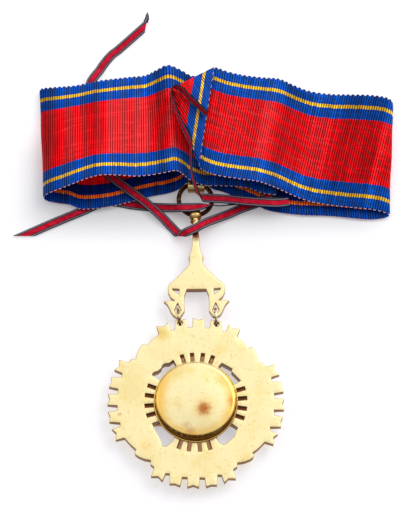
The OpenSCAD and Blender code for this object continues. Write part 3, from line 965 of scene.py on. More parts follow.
def boss_tints(s, place, base, metal):
    """Painted reflection: richer gold towards the dome's rim, sides and lower side; painted shade round
    its foot.
    """
    x, y, _ = s.parts(place)
    radius = s.reach(place)
    ragged = s.swing(s.noise(place, *RIM_RAG), 3)
    # Painted reflection: richer, darker gold towards the rim, the sides and the lower side of the dome.
    side_reflection = s.math("MULTIPLY_ADD", s.math("ABSOLUTE", x), 0.14, -0.6, clamp=True)
    share = s.math("MAXIMUM", side_reflection, s.between(y, *LOWER_REFLECTION_Y, 0.0, 0.95))
    rim = s.between(s.math("ADD", radius, ragged), *RIM_REFLECTION_R)
    base = s.film(base, rim, share, metal.rich_gilding_and_reflection)
    # Painted shade under the boss's lip, most on its lower side, and along its seam.
    low_side = s.math("DIVIDE", y, s.math("MAXIMUM", radius, 1.0))
    lip_shade_mask = s.between(s.math("MULTIPLY_ADD", low_side, -1.6, radius), *LIP_SHADE_R, 0.0, 0.95)
    lip_shade_mask = s.math("MULTIPLY", lip_shade_mask, s.between(radius, BOSS_R, BOSS_R + 0.08, 1.0, 0.0))
    base = s.mix(lip_shade_mask, base, metal.lip_and_seam_shade)
    seam = s.math("ABSOLUTE", s.math("SUBTRACT", radius, BOSS_R))
    return s.mix(s.between(seam, *SEAM_SHADE_REACH, 0.9, 0.0), base, metal.lip_and_seam_shade)


def stained(s, place, at, radius, strength):
    """Share of a soft ragged spot round a point."""
    ragged = s.swing(s.noise(place, *SPOT_RAG), 2.6)
    reach = s.math("ADD", s.reach(place, at), ragged)
    return s.between(reach, radius * 0.15, radius, strength, 0.0)


def wire_material(name, dark, gold, worn):
    """Dark wire with gold where it is rubbed: tarnish on the links, painted shade on the large ring."""
    s = new_shading(name)
    place = s.millimetres()
    rubbed = s.between(s.noise(place, *WIRE_RAG), *(level - worn for level in WIRE_LEVELS))
    return s.finish(PRINCIPLED, {
        "Base Color": s.mix(rubbed, dark, gold), "Metallic": 1.0,
        "Roughness": s.between(rubbed, 0, 1, *WIRE_ROUGH),
        "Normal": s.bump(s.noise(place, *WIRE_GRAIN), 0.35, 0.05),
    })


def edge_place(s, across, wander, width):
    """Distance from the nearer edge of a strip."""
    shifted = s.math("ADD", across, wander)
    return s.math("MINIMUM", shifted, s.math("SUBTRACT", width, shifted))


def starts(s, place, at):
    return s.between(place, at - STRIPE_SOFT, at + STRIPE_SOFT)


def stripe(s, place, at, end):
    soft = STRIPE_SOFT
    return s.band(place, at - soft, at + soft, end - soft, end + soft)


def silk_material(name, settings):
    """Ribbed silk. The silk attribute is the place along and across the ribbon, in mm, and the rim.

    The tilt attribute leans the normal over the soft folds, and inner is 1 on the lower face.
    """
    s = new_shading(name)
    weave = s.attribute("silk")
    along, across, rim = s.parts(weave)
    rib = s.math("DIVIDE", along, settings.rib_pitch / MM)
    rib_number = s.math("FLOOR", rib)
    rib_look = s.node("TexWhiteNoise", {"W": rib_number}, noise_dimensions="1D").outputs["Value"]
    from_edge = edge_place(s, across, s.swing(rib_look, RIB_WANDER), RIBBON_W)
    in_red = starts(s, from_edge, RED_AT)
    base = s.mix(stripe(s, from_edge, LINE_AT, LINE_END), settings.blue, settings.yellow)
    base = s.mix(in_red, base, settings.red)
    # Painted shade in the valleys between the ribs.
    valley = s.between(s.zigzag(rib), *RIB_VALLEY)
    watered = watered_share(s, along, across)
    streaks = s.noise(s.steps(rib_number, across, STREAK_STEPS), *SILK_FIBRE)
    tilt = s.attribute("tilt")
    # Painted light and shade on the soft folds, from the same tilt that leans the normal.
    fold_light = s.vector("DOT_PRODUCT", {0: tilt, 1: (1.0, 0, 0)}, "Value")
    # The shade holds the ribs' own tone, streaks and watering, with painted shade and painted fold light.
    shade = s.math("MULTIPLY_ADD", valley, *VALLEY_SHADE)
    for part, change in (
        (rib_look, RIB_SHADE), (streaks, STREAK_SHADE), (watered, WATERED_SHADE), (fold_light, TILT_SHADE)
    ):
        shade = s.math("MULTIPLY", shade, s.math("MULTIPLY_ADD", part, *change))
    shades = s.node("CombineXYZ", {0: shade, 1: shade, 2: shade}).outputs[0]
    base = s.mix(1.0, base, shades, "MULTIPLY")
    # Painted light and shade inside the loops: the lower face is darkened and reddened by bounce light,
    # most away from the lower selvage.
    inner_bounce = s.math("MULTIPLY", s.attribute("inner", "Fac"), s.between(across, 1.0, 6.0, 0.35, 1.0))
    base = s.mix(inner_bounce, base, s.mix(1.0, base, INNER_BOUNCE, "MULTIPLY"))
    # Painted pale sheen where the folds lean to the light and over the watering, less on the blue and in
    # valleys.
    sheen_share = s.math("MULTIPLY_ADD", fold_light, TILT_SHEEN, s.math("MULTIPLY", watered, 0.03), clamp=True)
    sheen_share = s.math("MULTIPLY", sheen_share, s.between(in_red, 0, 1, BLUE_SHEEN, 1.0))
    base = s.film(base, sheen_share, s.between(valley, 0, 1, 1.2, 0.1), SHEEN_COLOUR)
    loop = s.between(s.zigzag(s.math("MULTIPLY", rib, 0.5)), *LOOP_GAP)
    upper = s.between(across, RIBBON_W - 2, RIBBON_W - 1)
    upper_loops = s.mix(0.7, settings.blue, settings.dark_selvage)
    loops = s.mix(upper, settings.selvage, upper_loops)
    base = s.mix(s.between(rim, *RIM_SHARE), base, s.mix(loop, loops, settings.dark_selvage))
    fibre = s.noise(s.stretched(weave, FIBRE_STRETCH), *SILK_FIBRE)
    normal = s.vector("ADD", {0: s.bump(fibre, 0.35, 0.04), 1: tilt})
    return s.finish(PRINCIPLED, {
        "Base Color": base, "Roughness": s.between(fibre, 0.2, 0.8, *SILK_ROUGH),
        "Normal": s.vector("NORMALIZE", {0: normal}), "Specular IOR Level": SILK_GLOSS,
    })


def watered_share(s, along, across):
    """Wavy light lines of watered silk, long across the ribs."""
    waves = s.noise(s.steps(along, across, WATER_STEPS), *WATER_WAVES)
    return s.between(waves, *WATER_LEVELS)


def tape_material(name, settings):
    """Narrow tape: crimson middle, a fine pale line near each dark edge."""
    s = new_shading(name)
    weave = s.attribute("silk")
    along, across, rim = s.parts(weave)
    from_edge = edge_place(s, across, s.swing(s.noise(weave, *TAPE_RAG), TAPE_WANDER), TAPE_W)
    light_crimson = tuple(min(1.0, 1.45 * c + 0.01) for c in settings.crimson)
    crimson = s.mix(s.pattern(weave, CRIMSON_PATCHES), settings.crimson, light_crimson)
    base = s.mix(stripe(s, from_edge, PALE_AT, PALE_END), settings.dark, settings.pale)
    base = s.mix(starts(s, from_edge, CRIMSON_AT), base, crimson)
    pick = s.between(s.zigzag(s.math("MULTIPLY", along, PICKS)), *PICK_GAP)
    # Painted shade in the gaps between the picks.
    base = s.film(base, pick, 0.25, (0, 0, 0))
    base = s.film(base, rim, 0.5, settings.dark)
    height = s.math("MULTIPLY_ADD", pick, -0.6, s.noise(weave, *TAPE_FIBRE))
    return s.finish(PRINCIPLED, {
        "Base Color": base, "Roughness": TAPE_ROUGH, "Normal": s.bump(height, 0.4, 0.05),
        "Specular IOR Level": TAPE_GLOSS,
    })


# Strips of cloth


def smooth_rows(rows, steps):
    """A smooth run of rows through the rows of a table."""
    rows = np.array(rows, float)
    last = len(rows) - 1
    run = []
    for i in range(last):
        a, b, c, d = rows[max(i - 1, 0)], rows[i], rows[i + 1], rows[min(i + 2, last)]
        for t in np.arange(steps) / steps:
            run.append(
                0.5 * (2 * b + (c - a) * t + (2 * a - 5 * b + 4 * c - d) * t**2
                       + (3 * b - a - 3 * c + d) * t**3)
            )
    run.append(rows[last])
    return np.array(run)


def normalised(vectors):
    return vectors / np.linalg.norm(vectors, axis=-1, keepdims=True)


def lengthened(edge, along, reach):
    """The edge and its places, carried on in a straight line beyond both ends."""
    first = edge[0] - normalised(edge[1] - edge[0]) * reach
    last = edge[-1] + normalised(edge[-1] - edge[-2]) * reach
    return np.vstack([first, edge, last]), np.concatenate([[-reach], along, [along[-1] + reach]])


def places_along(low, high):
    """The place of each pair of edge points, measured along the middle."""
    steps = np.linalg.norm(np.diff((low + high) / 2, axis=0), axis=1)
    return np.concatenate([[0], np.cumsum(steps)])


def leaning_surface(low, high, leans, shares, step):
    """Points of a strip between two edges, in rows that lean by leans (place, length along)."""
    along = places_along(low, high)
    places = np.append(np.arange(0, along[-1], step), along[-1])
    lean = np.interp(places, *zip(*leans))
    wide_low, wide_along = lengthened(low, along, END_REACH)
    wide_high, _ = lengthened(high, along, END_REACH)
    columns = []
    for share in shares:
        at = places - lean * (share - 0.5)
        ends = [np.stack([np.interp(at, wide_along, e[:, k]) for k in range(3)], 1)
                for e in (wide_low, wide_high)]
        columns.append(ends[0] + (ends[1] - ends[0]) * share)
    return np.stack(columns, 1), places


def across_shares(width, rim, middle):
    """Places across a strip, closer near the edges."""
    near = [0, rim / width, 2.5 * rim / width]
    inner = np.linspace(near[-1], 1 - near[-1], middle + 1)
    return np.array(near[:-1] + list(inner) + [1 - n for n in reversed(near[:-1])])


def both_faces(upper, lower):
    """One list for the points of both faces, which share the points of their two edges."""
    return np.concatenate([upper.reshape(-1, 3), lower[:, 1:-1].reshape(-1, 3)])


def store(mesh, name, kind, key, values):
    attribute = mesh.attributes.new(name, kind, "POINT")
    attribute.data.foreach_set(key, values.astype(np.float32).ravel())


def strip_mesh(top, bottom):
    """A closed mesh between the top and the bottom face of a strip."""
    rows, columns = top.shape[:2]
    upper = np.arange(rows * columns).reshape(rows, columns)
    lower = upper.copy()
    lower[:, 1:-1] = rows * columns + np.arange(rows * (columns - 2)).reshape(rows, columns - 2)
    quads = []
    for grid, way in ((upper, 1), (lower, -1)):
        corners = (grid[:-1, :-1], grid[1:, :-1], grid[1:, 1:], grid[:-1, 1:])
        quads.append(np.stack([q.ravel() for q in corners[::way]], 1))
    ends = [[*upper[i], *reversed(lower[i, 1:-1])][::way] for i, way in ((0, 1), (rows - 1, -1))]
    mesh = bpy.data.meshes.new("strip")
    mesh.from_pydata(both_faces(top, bottom).tolist(), [], np.concatenate(quads).tolist() + ends)
    mesh.update()
    return mesh


def strip(low, high, leans, step, width, thickness, middle, rim, ribs, scallops, drape=0.0, folds=()):
    """A closed strip of cloth between two edges, with ribs across it as real relief.

    ribs is the pitch and height, scallops the swing of the lower and of the upper edge. The silk
    attribute holds the place along and across and the rim, inner the lower face, tilt the folds.
    """
    shares = across_shares(width, rim, middle)
    surface, along = leaning_surface(low, high, leans, shares, step)
    way = normalised(np.gradient(surface, axis=0))
    over = normalised(np.gradient(surface, axis=1))
    up = normalised(np.cross(over, way))
    pitch, height = ribs
    relief = height * (np.sqrt(np.sin(np.pi * ((along / pitch) % 1))) - 1)
    loops = np.abs(np.sin(np.pi * along / (2 * pitch))) - 0.5
    low_swing, high_swing = scallops
    for side, push in ((0, -low_swing), (1, -low_swing / 2), (-1, high_swing), (-2, high_swing / 2)):
        surface[:, side] += push * over[:, side] * loops[:, None]
    if drape:
        for i, s in enumerate(along):
            for j, share in enumerate(shares):
                wave = noise.noise(Vector((s / DRAPE_LONG, share * width / DRAPE_WIDE, DRAPE_START)))
                surface[i, j] += up[i, j] * drape * wave
    fade = np.ones(len(shares))
    fade[0] = fade[-1] = 0.0
    fade[1] = fade[-2] = EDGE_FADE
    half = (thickness / 2 + relief)[:, None, None] * fade[None, :, None]
    mesh = strip_mesh(surface + up * half, surface - up * half)
    rows, columns = surface.shape[:2]
    rim_share = np.zeros(columns)
    rim_share[0] = rim_share[-1] = 1.0
    silk = np.stack(
        [np.repeat(along[:, None], columns, 1), np.repeat(shares[None] * width, rows, 0),
         np.repeat(rim_share[None], rows, 0)], 2,
    )
    store(mesh, "silk", "FLOAT_VECTOR", "vector", both_faces(silk, silk))
    store(mesh, "inner", "FLOAT", "value", np.repeat([0.0, 1.0], [rows * columns, rows * (columns - 2)]))
    if folds:
        tilts = np.interp(along, *zip(*folds))
        soft = np.exp(-np.linspace(-2, 2, FOLD_SPREAD) ** 2)
        tilts = np.convolve(np.pad(tilts, FOLD_SPREAD // 2, "edge"), soft / soft.sum(), "same")
        tilts = np.radians(tilts[FOLD_SPREAD // 2:][:len(along)])
        lean = way * np.sign(way[..., :1]) * tilts[:, None, None]
        store(mesh, "tilt", "FLOAT_VECTOR", "vector", both_faces(lean, lean))
    return mesh


def tape_edges(table):
    """The two edges of a tape from its table of middle line, heading and tilt."""
    rows = smooth_rows(table, ROW_STEPS)
    heading, tilt = np.radians(rows[:, 3]), np.radians(rows[:, 4])
    side = np.stack([np.cos(heading) * np.cos(tilt), np.sin(heading) * np.cos(tilt), np.sin(tilt)], 1)
    return rows[:, :3] - side * TAPE_W / 2, rows[:, :3] + side * TAPE_W / 2


# Pieces


def star_loops():
    """The outline of the star, its slots, windows and eyelets."""
    outline = []
    holes = []
    half = SLOT_W / 2
    slot = [(-half, SLOT_FROM), (half, SLOT_FROM), (half, SLOT_TO), (-half, SLOT_TO)]
    for k in range(LOBES):
        quarter = -360 / LOBES * k
        lobe = flipped(LOBE) + LOBE[1:] + (WAVE if k < MIRRORED_QUARTERS else crossed(WAVE))
        outline += turned(lobe, quarter)
        holes += [turned(slot, angle + quarter) for angle in SLOT_ANGLES]
    for window in WINDOWS:
        holes.append([(r * math.sin(math.radians(a)), r * math.cos(math.radians(a))) for a, r in window])
    for side in (-1, 1):
        holes.append(round_points(EYELET_R, 20, (side * EYELET[0], EYELET[1])))
    return turned(outline, STAR_TURN), [turned(h, STAR_TURN) for h in holes]


class BADGE_OT_star(bpy.types.Operator):
    """Add the pierced star plate"""

    bl_idname = "badge.star"
    bl_label = "Star plate"

    def execute(self, context):
        metal = context.scene.badge_metal
        outline, holes = star_loops()
        slope = (STAR_TOP - RIM_T) / (SLOPE_R - REST_R)

        def top(x, y):
            return STAR_TOP + uneven(x, y, STAR_WAVES)

        def base(x, y):
            return max(0.0, (math.hypot(x, y) - REST_R) * slope)

        mesh = rounded(plate(outline, holes, top, base, PLATE_SPACING), metal.edge_round / MM)
        material = gilt_material("star_gilding", metal, roughness=0.34, film=0.45, spots=STAR_SPOTS)
        add_piece("star", mesh, material, "star_plate", 32)
        return {"FINISHED"}


class BADGE_OT_boss(bpy.types.Operator):
    """Add the domed cap on the back of the star"""

    bl_idname = "badge.boss"
    bl_label = "Boss"

    def execute(self, context):
        metal = context.scene.badge_metal
        small = 0.12
        seam = 0.05
        rings = 24
        dome_r = (BOSS_R**2 + DOME_H**2) / (2 * DOME_H)
        rise = BOSS_H + DOME_H
        profile = [(0, 0), (COLLAR_R, 0), (COLLAR_R, COLLAR_H - small), (COLLAR_R - small, COLLAR_H)]
        profile += [(BOSS_R + 0.02, COLLAR_H), (BOSS_R - seam, COLLAR_H + small)]
        edge = BOSS_R - BOSS_ROUND
        edge_z = rise - dome_r + math.sqrt(dome_r**2 - edge**2)
        foot = BOSS_H - BOSS_ROUND * 0.7
        for a in range(0, 90, 10):
            c, d = math.cos(math.radians(a)), math.sin(math.radians(a))
            profile.append((edge + (BOSS_ROUND - seam) * c, foot + (edge_z - foot) * d))
        for i in range(rings):
            r = edge * (1 - i / rings)
            profile.append((r, rise - dome_r + math.sqrt(dome_r**2 - r**2)))
        profile.append((0, rise))
        mesh = lathe(profile, 160)
        mesh.transform(Matrix.Translation((0, 0, BOSS_Z)))
        for v in mesh.vertices:
            if v.co.z > BOSS_Z + BOSS_H:
                v.co.z += uneven(v.co.x, v.co.y, BOSS_WAVES)
        material = gilt_material(
            "boss_gilding", metal, roughness=0.24, film=0.6, spots=BOSS_SPOTS, boss=True
        )
        add_piece("boss", mesh, material, "centre_boss", 40)
        return {"FINISHED"}


def hanger_body(edge_round):
    """The hanger's pierced plate with the thick gable behind it."""
    drop = round_points(DROP_R, 14, DROP_AT, -180, 180) + [(DROP_AT[0], DROP_AT[1] + DROP_TIP)]
    holes = [BROW_HOLE, flipped(BROW_HOLE), drop, flipped(drop)]
    body = plate(
        HANGER + flipped(HANGER), holes, lambda x, y: HANGER_TOP, lambda x, y: HANGER_TOP - HANGER_T,
        PLATE_SPACING,
    )
    gable = plate(
        GABLE + flipped(GABLE), [], lambda x, y: HANGER_TOP - HANGER_T / 2, lambda x, y: 0.0,
        GABLE_SPACING,
    )
    return rounded(combined(body, gable, "UNION"), edge_round)


def ball_eye():
    """The ball at the tip of the spire, bored for the ring."""
    arc = [math.radians(a) for a in range(0, 181, 6)]
    ball = lathe([(BALL_R * math.sin(a), -BALL_R * math.cos(a)) for a in arc], 48)
    rise = RING_R - math.sqrt(RING_R**2 - BALL_R**2)
    bore_r = RING_WIRE / 2 + BORE_ROOM + rise / 2
    bore = lathe([(0, -BORE_REACH), (bore_r, -BORE_REACH), (bore_r, BORE_REACH), (0, BORE_REACH)], 32)
    bore.transform(Matrix.Translation((0, rise / 2, 0)) @ Matrix.Rotation(math.pi / 2, 4, "Y"))
    ball = rounded(combined(ball, bore, "DIFFERENCE"), 0.12)
    ball.transform(Matrix.Translation((0, BALL_UP, BALL_R)))
    return ball


class BADGE_OT_hanger(bpy.types.Operator):
    """Add the spire hanger with its ball eye"""

    bl_idname = "badge.hanger"
    bl_label = "Hanger"

    def execute(self, context):
        metal = context.scene.badge_metal
        coil = lathe([(COIL_R + COIL_WIRE * x, COIL_WIRE * y) for x, y in round_points(1, 12)], 32, True)
        coil.transform(Matrix.Translation(COIL_AT) @ Matrix.Rotation(math.pi / 2, 4, "X"))
        mesh = joined([hanger_body(metal.edge_round / MM * 0.8), ball_eye(), coil])
        turn = Matrix.Rotation(math.radians(HANGER_TURN), 4, "Z")
        mesh.transform(Matrix.Translation((*HANGER_FOOT, 0)) @ turn)
        material = gilt_material("hanger_gilding", metal, roughness=0.32, film=0.25, spots=HANGER_SPOTS)
        add_piece("hanger", mesh, material, "spire_hanger", 35)
        return {"FINISHED"}


def wire_loop(radius, wire, gap_degrees, gap_at, steps=96, sides=20):
    """A bent wire loop about Z with a fine seam where its ends meet."""
    path = []
    for i in range(steps + 1):
        a = math.radians(gap_at + gap_degrees / 2 + (360 - gap_degrees) * i / steps)
        wobble = 1 + WIRE_WOBBLE * math.sin(3 * a + 0.7)
        out = Vector((math.cos(a), math.sin(a), 0))
        path.append((out * radius * wobble, out, Vector((0, 0, 1))))
    mesh = sweep_section(path, round_points(wire / 2, sides), False)
    return rounded(mesh, wire * 0.12, 50)


class BADGE_OT_links(bpy.types.Operator):
    """Add the two small links"""

    bl_idname = "badge.links"
    bl_label = "Links"

    def execute(self, context):
        metal = context.scene.badge_metal
        material = wire_material("link_tarnish", metal.grime_and_shade, metal.gilding, worn=0.6)
        for name, (x, y, turn) in LINKS.items():
            mesh = wire_loop(LINK_R, LINK_WIRE, gap_degrees=1.5, gap_at=200)
            mesh.transform(
                Matrix.Translation((x, y, LINK_Z))
                @ Matrix.Rotation(math.radians(turn), 4, "Z")
                @ Matrix.Rotation(math.pi / 2, 4, "Y")
            )
            add_piece(name + "_wire", mesh, material, name, 50)
        return {"FINISHED"}


class BADGE_OT_ring(bpy.types.Operator):
    """Add the large ring and the bail"""

    bl_idname = "badge.ring"
    bl_label = "Ring and bail"

    def execute(self, context):
        metal = context.scene.badge_metal
        # The large ring's nearly black colour is painted shade: it lies in the shade of the ribbon.
        dark = wire_material("ring_painted_shade", metal.shaded_ring_wire, metal.rich_gilding_and_reflection, worn=0.47)
        turn = math.radians(HANGER_TURN)
        centre = Vector((HANGER_FOOT[0] - BALL_UP * math.sin(turn),
                         HANGER_FOOT[1] + BALL_UP * math.cos(turn) + RING_R, BALL_R))
        mesh = wire_loop(RING_R, RING_WIRE, gap_degrees=0.8, gap_at=62)
        mesh.transform(Matrix.Translation(centre))
        add_piece("ring_wire", mesh, dark, "ribbon_ring", 50)
        gilt = gilt_material("bail_gilding", metal, roughness=0.2, film=1.0, wall_shade=0.75)
        add_piece("bail", bail_mesh(), gilt, "ribbon_clasp", 40)
        return {"FINISHED"}


def bail_mesh():
    """A flat band with rounded edges, bent to a long round-ended loop."""
    middle_r = BAIL_HALF - BAIL_T / 2
    low, high = BAIL_LOW + BAIL_HALF, BAIL_HIGH - BAIL_HALF
    arc = [math.radians(a) for a in range(0, 181, 10)]
    line = [(low - middle_r * math.sin(a), -middle_r * math.cos(a)) for a in arc]
    line += [(low + (high - low) * i / BAIL_STEPS, middle_r) for i in range(1, BAIL_STEPS)]
    line += [(high + middle_r * math.sin(a), middle_r * math.cos(a)) for a in arc]
    line += [(high + (low - high) * i / BAIL_STEPS, -middle_r) for i in range(1, BAIL_STEPS)]
    side = Vector((1, 0, 0))
    path = []
    for i, (y, z) in enumerate(line):
        before, after = line[i - 1], line[(i + 1) % len(line)]
        way = Vector((0, after[0] - before[0], after[1] - before[1])).normalized()
        path.append((Vector((0, y, z + BALL_R)), side, side.cross(way)))
    corner = BAIL_T * 0.4
    section = []
    for sx, sy, start in ((1, 1, 0), (-1, 1, 90), (-1, -1, 180), (1, -1, 270)):
        at = (sx * (BAIL_W / 2 - corner), sy * (BAIL_T / 2 - corner))
        section += round_points(corner, 5, at, start, 90)
    return sweep_section(path, section, True)


class BADGE_OT_neck_ribbon(bpy.types.Operator):
    """Add the ribbed neck ribbon with its folded point"""

    bl_idname = "badge.neck_ribbon"
    bl_label = "Neck ribbon"

    def execute(self, context):
        silk = context.scene.badge_ribbon
        pitch, height = silk.rib_pitch / MM, silk.rib_height / MM
        thickness = silk.thickness / MM
        rows = smooth_rows(RIBBON, ROW_STEPS)
        low, high = rows[:, :3], rows[:, 3:]
        along = places_along(low, high)
        leans = [(along[ROW_STEPS * row], lean) for row, lean in RIB_LEAN]
        mesh = strip(
            low, high, leans, step=pitch / 4, width=RIBBON_W, thickness=thickness, middle=26, rim=0.4,
            ribs=(pitch, height), scallops=SILK_SCALLOPS, drape=DRAPE, folds=FOLDS,
        )
        flap = flap_mesh(low[-1], high[-1], thickness, pitch, height)
        material = silk_material("ribbon_silk", silk)
        ribbon = add_piece("ribbon", joined([mesh, flap]), material, "neck_ribbon", 70)
        return {"FINISHED"}


def flap_mesh(low, high, thickness, pitch, height):
    """The folded point at the ribbon's end: a triangle of silk over the band."""
    tip = np.array(FOLD_TIP, float)
    edge_way = normalised(high - low)
    points = []
    silk = []
    for i in range(FLAP_ROWS + 1):
        s = i / FLAP_ROWS * FLAP_REACH
        a, b = low + (tip - low) * s, high + (tip - high) * s
        for j in range(FLAP_COLUMNS + 1):
            t = j / FLAP_COLUMNS
            p = a + (b - a) * t
            away = p - low
            out = away - edge_way * (away @ edge_way)
            distance = np.linalg.norm(out) / FLAP_SQUEEZE
            along = (p[0] * FLAP_WAY[0] + p[1] * FLAP_WAY[1]) * FLAP_STRETCH
            fold = min(t, 1 - t) * np.linalg.norm(b - a)
            lift = FLAP_LIFT + FLAP_SWELL * min(1.0, fold / FLAP_SWELL_W)
            lift += FLAP_CROWN * math.sin(math.pi * min(1, s * 1.1))
            relief = height * (math.sqrt(abs(math.sin(math.pi * along / pitch))) - 1)
            points.append((p[0], p[1], p[2] + lift + relief))
            silk.append((along, distance, 0.0))
    grid = np.arange(len(points)).reshape(FLAP_ROWS + 1, FLAP_COLUMNS + 1)
    bm = bmesh.new()
    layer = bm.verts.layers.float_vector.new("silk")
    verts = [[], []]
    for side in (0, 1):
        for p, c in zip(points, silk):
            v = bm.verts.new((p[0], p[1], p[2] - side * thickness))
            v[layer] = c
            verts[side].append(v)
    for i in range(FLAP_ROWS):
        for j in range(FLAP_COLUMNS):
            ring = [grid[i, j], grid[i, j + 1], grid[i + 1, j + 1], grid[i + 1, j]]
            bm.faces.new([verts[0][k] for k in ring])
            bm.faces.new([verts[1][k] for k in reversed(ring)])
    border = [*grid[0, :], *grid[1:, -1], *grid[-1, -2::-1], *grid[-2:0:-1, 0]]
    for k, m in zip(border, border[1:] + border[:1]):
        bm.faces.new([verts[0][m], verts[0][k], verts[1][k], verts[1][m]])
    for k in grid[0, :]:
        for side in (0, 1):
            verts[side][k][layer] = (verts[side][k][layer][0], 0.0, 1.0)
    bmesh.ops.recalc_face_normals(bm, faces=bm.faces)
    return mesh_of(bm, "flap")


class BADGE_OT_tie_tapes(bpy.types.Operator):
    """Add the two tie tapes"""

    bl_idname = "badge.tie_tapes"
    bl_label = "Tie tapes"

    def execute(self, context):
        tape = context.scene.badge_tape
        material = tape_material("tape_weave", tape)
        for name, table, slant in (
            ("tie_right", TIE_RIGHT, TIE_RIGHT_LEAN), ("tie_left", TIE_LEFT, TIE_LEFT_LEAN)
        ):
            low, high = tape_edges(table)
            length = places_along(low, high)[-1]
            leans = [(length - SLANT_FROM, 0), (length, TAPE_W * math.tan(math.radians(slant)))]
            mesh = strip(
                low, high, leans, step=0.25, width=TAPE_W, thickness=tape.thickness / MM, middle=8,
                rim=0.1, ribs=TAPE_RIBS, scallops=(0.05, 0.05),
            )
            if name == "tie_left":
                mesh = joined([mesh, frayed_corner()])
            add_piece(name + "_tape", mesh, material, name, 70)
        return {"FINISHED"}


def frayed_corner():
    """The selvage of the left tape, which has come loose at the cut and stands up to a point."""
    rows = smooth_rows(FRAYED_CORNER, FRAY_STEPS)
    low, high = rows[:, :3], rows[:, 3:]
    return strip(
        low, high, [(0, 0)], step=0.15, width=FRAYED_W, thickness=0.25, middle=4, rim=0.1,
        ribs=TAPE_RIBS, scallops=(0.1, 0.1),
    )


# Stage


def add_camera(scene, stage):
    e = stage.elevation
    back = Vector((0, -math.cos(e), math.sin(e)))
    camera = bpy.data.cameras.new("camera")
    camera.sensor_width = SENSOR
    camera.lens = SENSOR * stage.distance / (FRAME_PIXELS / PIXELS_PER_MM * MM)
    camera.clip_start = 0.01
    eye = bpy.data.objects.new("camera", camera)
    eye.location = Vector(TARGET) * MM + back * stage.distance
    eye.rotation_mode = "QUATERNION"
    eye.rotation_quaternion = (-back).to_track_quat("-Z", "Y")
    scene.collection.objects.link(eye)
    scene.camera = eye


def add_lamps(scene):
    for name, (place, size, power) in LAMPS.items():
        light = bpy.data.lights.new(name, "AREA")
        light.size = size
        light.energy = power
        lamp = bpy.data.objects.new(name, light)
        lamp.location = Vector(TARGET) * MM + Vector(place)
        lamp.rotation_mode = "QUATERNION"
        lamp.rotation_quaternion = (-Vector(place)).to_track_quat("-Z", "Y")
        scene.collection.objects.link(lamp)


def floor_material(stage):
    """Pale paper with a warm shade under the star's slots and a soft one below the ribbon."""
    s = new_shading("floor_paper")
    shade = slot_shade(s)
    glow = s.math("MULTIPLY", ribbon_shade(s), RIBBON_SHADE)
    glow = s.math("SUBTRACT", s.between(shade, 0, 1, 0.5, 0.3), glow)
    return s.finish(PRINCIPLED, {
        "Base Color": s.mix(shade, stage.floor, SHADE_COLOUR), "Roughness": 0.7,
        "Specular IOR Level": 0.1, "Emission Color": s.mix(shade, FLOOR_GLOW, SHADE_GLOW),
        "Emission Strength": glow,
    })


def ribbon_shade(s):
    """Share of soft shade on the floor along the lower side of the ribbon."""
    x, y, _ = s.parts(s.millimetres())
    return s.math("MULTIPLY", s.band(x, *RIBBON_SHADE_X), s.band(y, *RIBBON_SHADE_Y))


def slot_shade(s):
    """Share of warm shade on the floor under the narrow slots of the star."""
    place = s.millimetres()
    x, y, _ = s.parts(place)
    from_axis = s.math("MINIMUM", s.math("ABSOLUTE", x), s.math("ABSOLUTE", y))
    near_axis = s.between(from_axis, *SLOT_SHADE_HALF, 1.0, 0.0)
    return s.math("MULTIPLY", near_axis, s.between(s.reach(place), *SLOT_SHADE_R, 1.0, 0.0))


def studio_world():
    """Pale light from above and from behind the badge, dimmer from the front and below."""
    s = Shading(bpy.data.worlds.new("studio"))
    x, y, z = s.parts(s.node("TexCoord").outputs["Generated"])
    height = s.math("MULTIPLY_ADD", y, SKY_BACK, s.math("MULTIPLY", z, SKY_UP))
    height = s.math("MULTIPLY_ADD", s.math("ABSOLUTE", x), SKY_SIDE, height)
    strength = s.between(height, *SKY_RANGE, *SKY_LIGHT)
    return s.finish("Background", {"Color": (1, 1, 1), "Strength": strength})


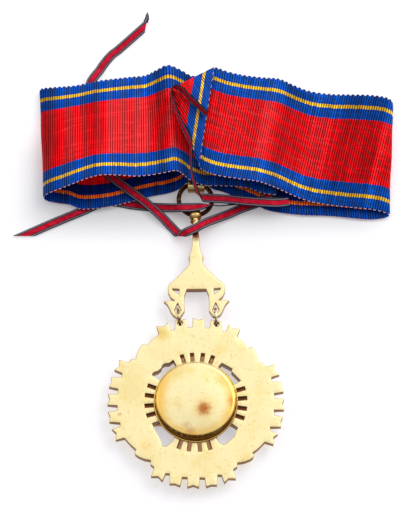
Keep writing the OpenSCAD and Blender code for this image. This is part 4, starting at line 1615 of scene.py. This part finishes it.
class BADGE_OT_stage(bpy.types.Operator):
    """Add the floor, the lights and the camera"""

    bl_idname = "badge.stage"
    bl_label = "Stage"

    def execute(self, context):
        scene = context.scene
        scene.view_settings.view_transform = "Standard"
        add_camera(scene, scene.badge_stage)
        bm = bmesh.new()
        bmesh.ops.create_grid(bm, x_segments=8, y_segments=8, size=FLOOR_HALF)
        floor = bpy.data.objects.new("floor", mesh_of(bm, "floor"))
        floor.data.materials.append(floor_material(scene.badge_stage))
        scene.collection.objects.link(floor)
        scene.world = studio_world()
        add_lamps(scene)
        return {"FINISHED"}


SETTINGS = {
    "badge_metal": MetalSettings,
    "badge_ribbon": RibbonSettings,
    "badge_tape": TapeSettings,
    "badge_stage": StageSettings,
}
OPERATORS = (
    BADGE_OT_stage, BADGE_OT_star, BADGE_OT_boss, BADGE_OT_hanger, BADGE_OT_links, BADGE_OT_ring,
    BADGE_OT_neck_ribbon, BADGE_OT_tie_tapes,
)


class BADGE_PT_panel(bpy.types.Panel):
    """Buttons and settings of the badge"""

    bl_idname = "BADGE_PT_panel"
    bl_label = "Order badge"
    bl_space_type = "VIEW_3D"
    bl_region_type = "UI"
    bl_category = "Badge"

    def draw(self, context):
        layout = self.layout
        for name in SETTINGS:
            group = getattr(context.scene, name)
            box = layout.box()
            for key in group.__annotations__:
                box.prop(group, key)
        for operator in OPERATORS:
            layout.operator(operator.bl_idname)


CLASSES = (*SETTINGS.values(), *OPERATORS, BADGE_PT_panel)


def register():
    for cls in CLASSES:
        bpy.utils.register_class(cls)
    for name, group in SETTINGS.items():
        setattr(bpy.types.Scene, name, PointerProperty(type=group))


def unregister():
    for name in SETTINGS:
        delattr(bpy.types.Scene, name)
    for cls in reversed(CLASSES):
        bpy.utils.unregister_class(cls)


def main():
    register()
    bpy.ops.badge.stage()
    bpy.ops.badge.star()
    bpy.ops.badge.boss()
    bpy.ops.badge.hanger()
    bpy.ops.badge.links()
    bpy.ops.badge.ring()
    bpy.ops.badge.neck_ribbon()
    bpy.ops.badge.tie_tapes()


if __name__ == "__main__":
    main()
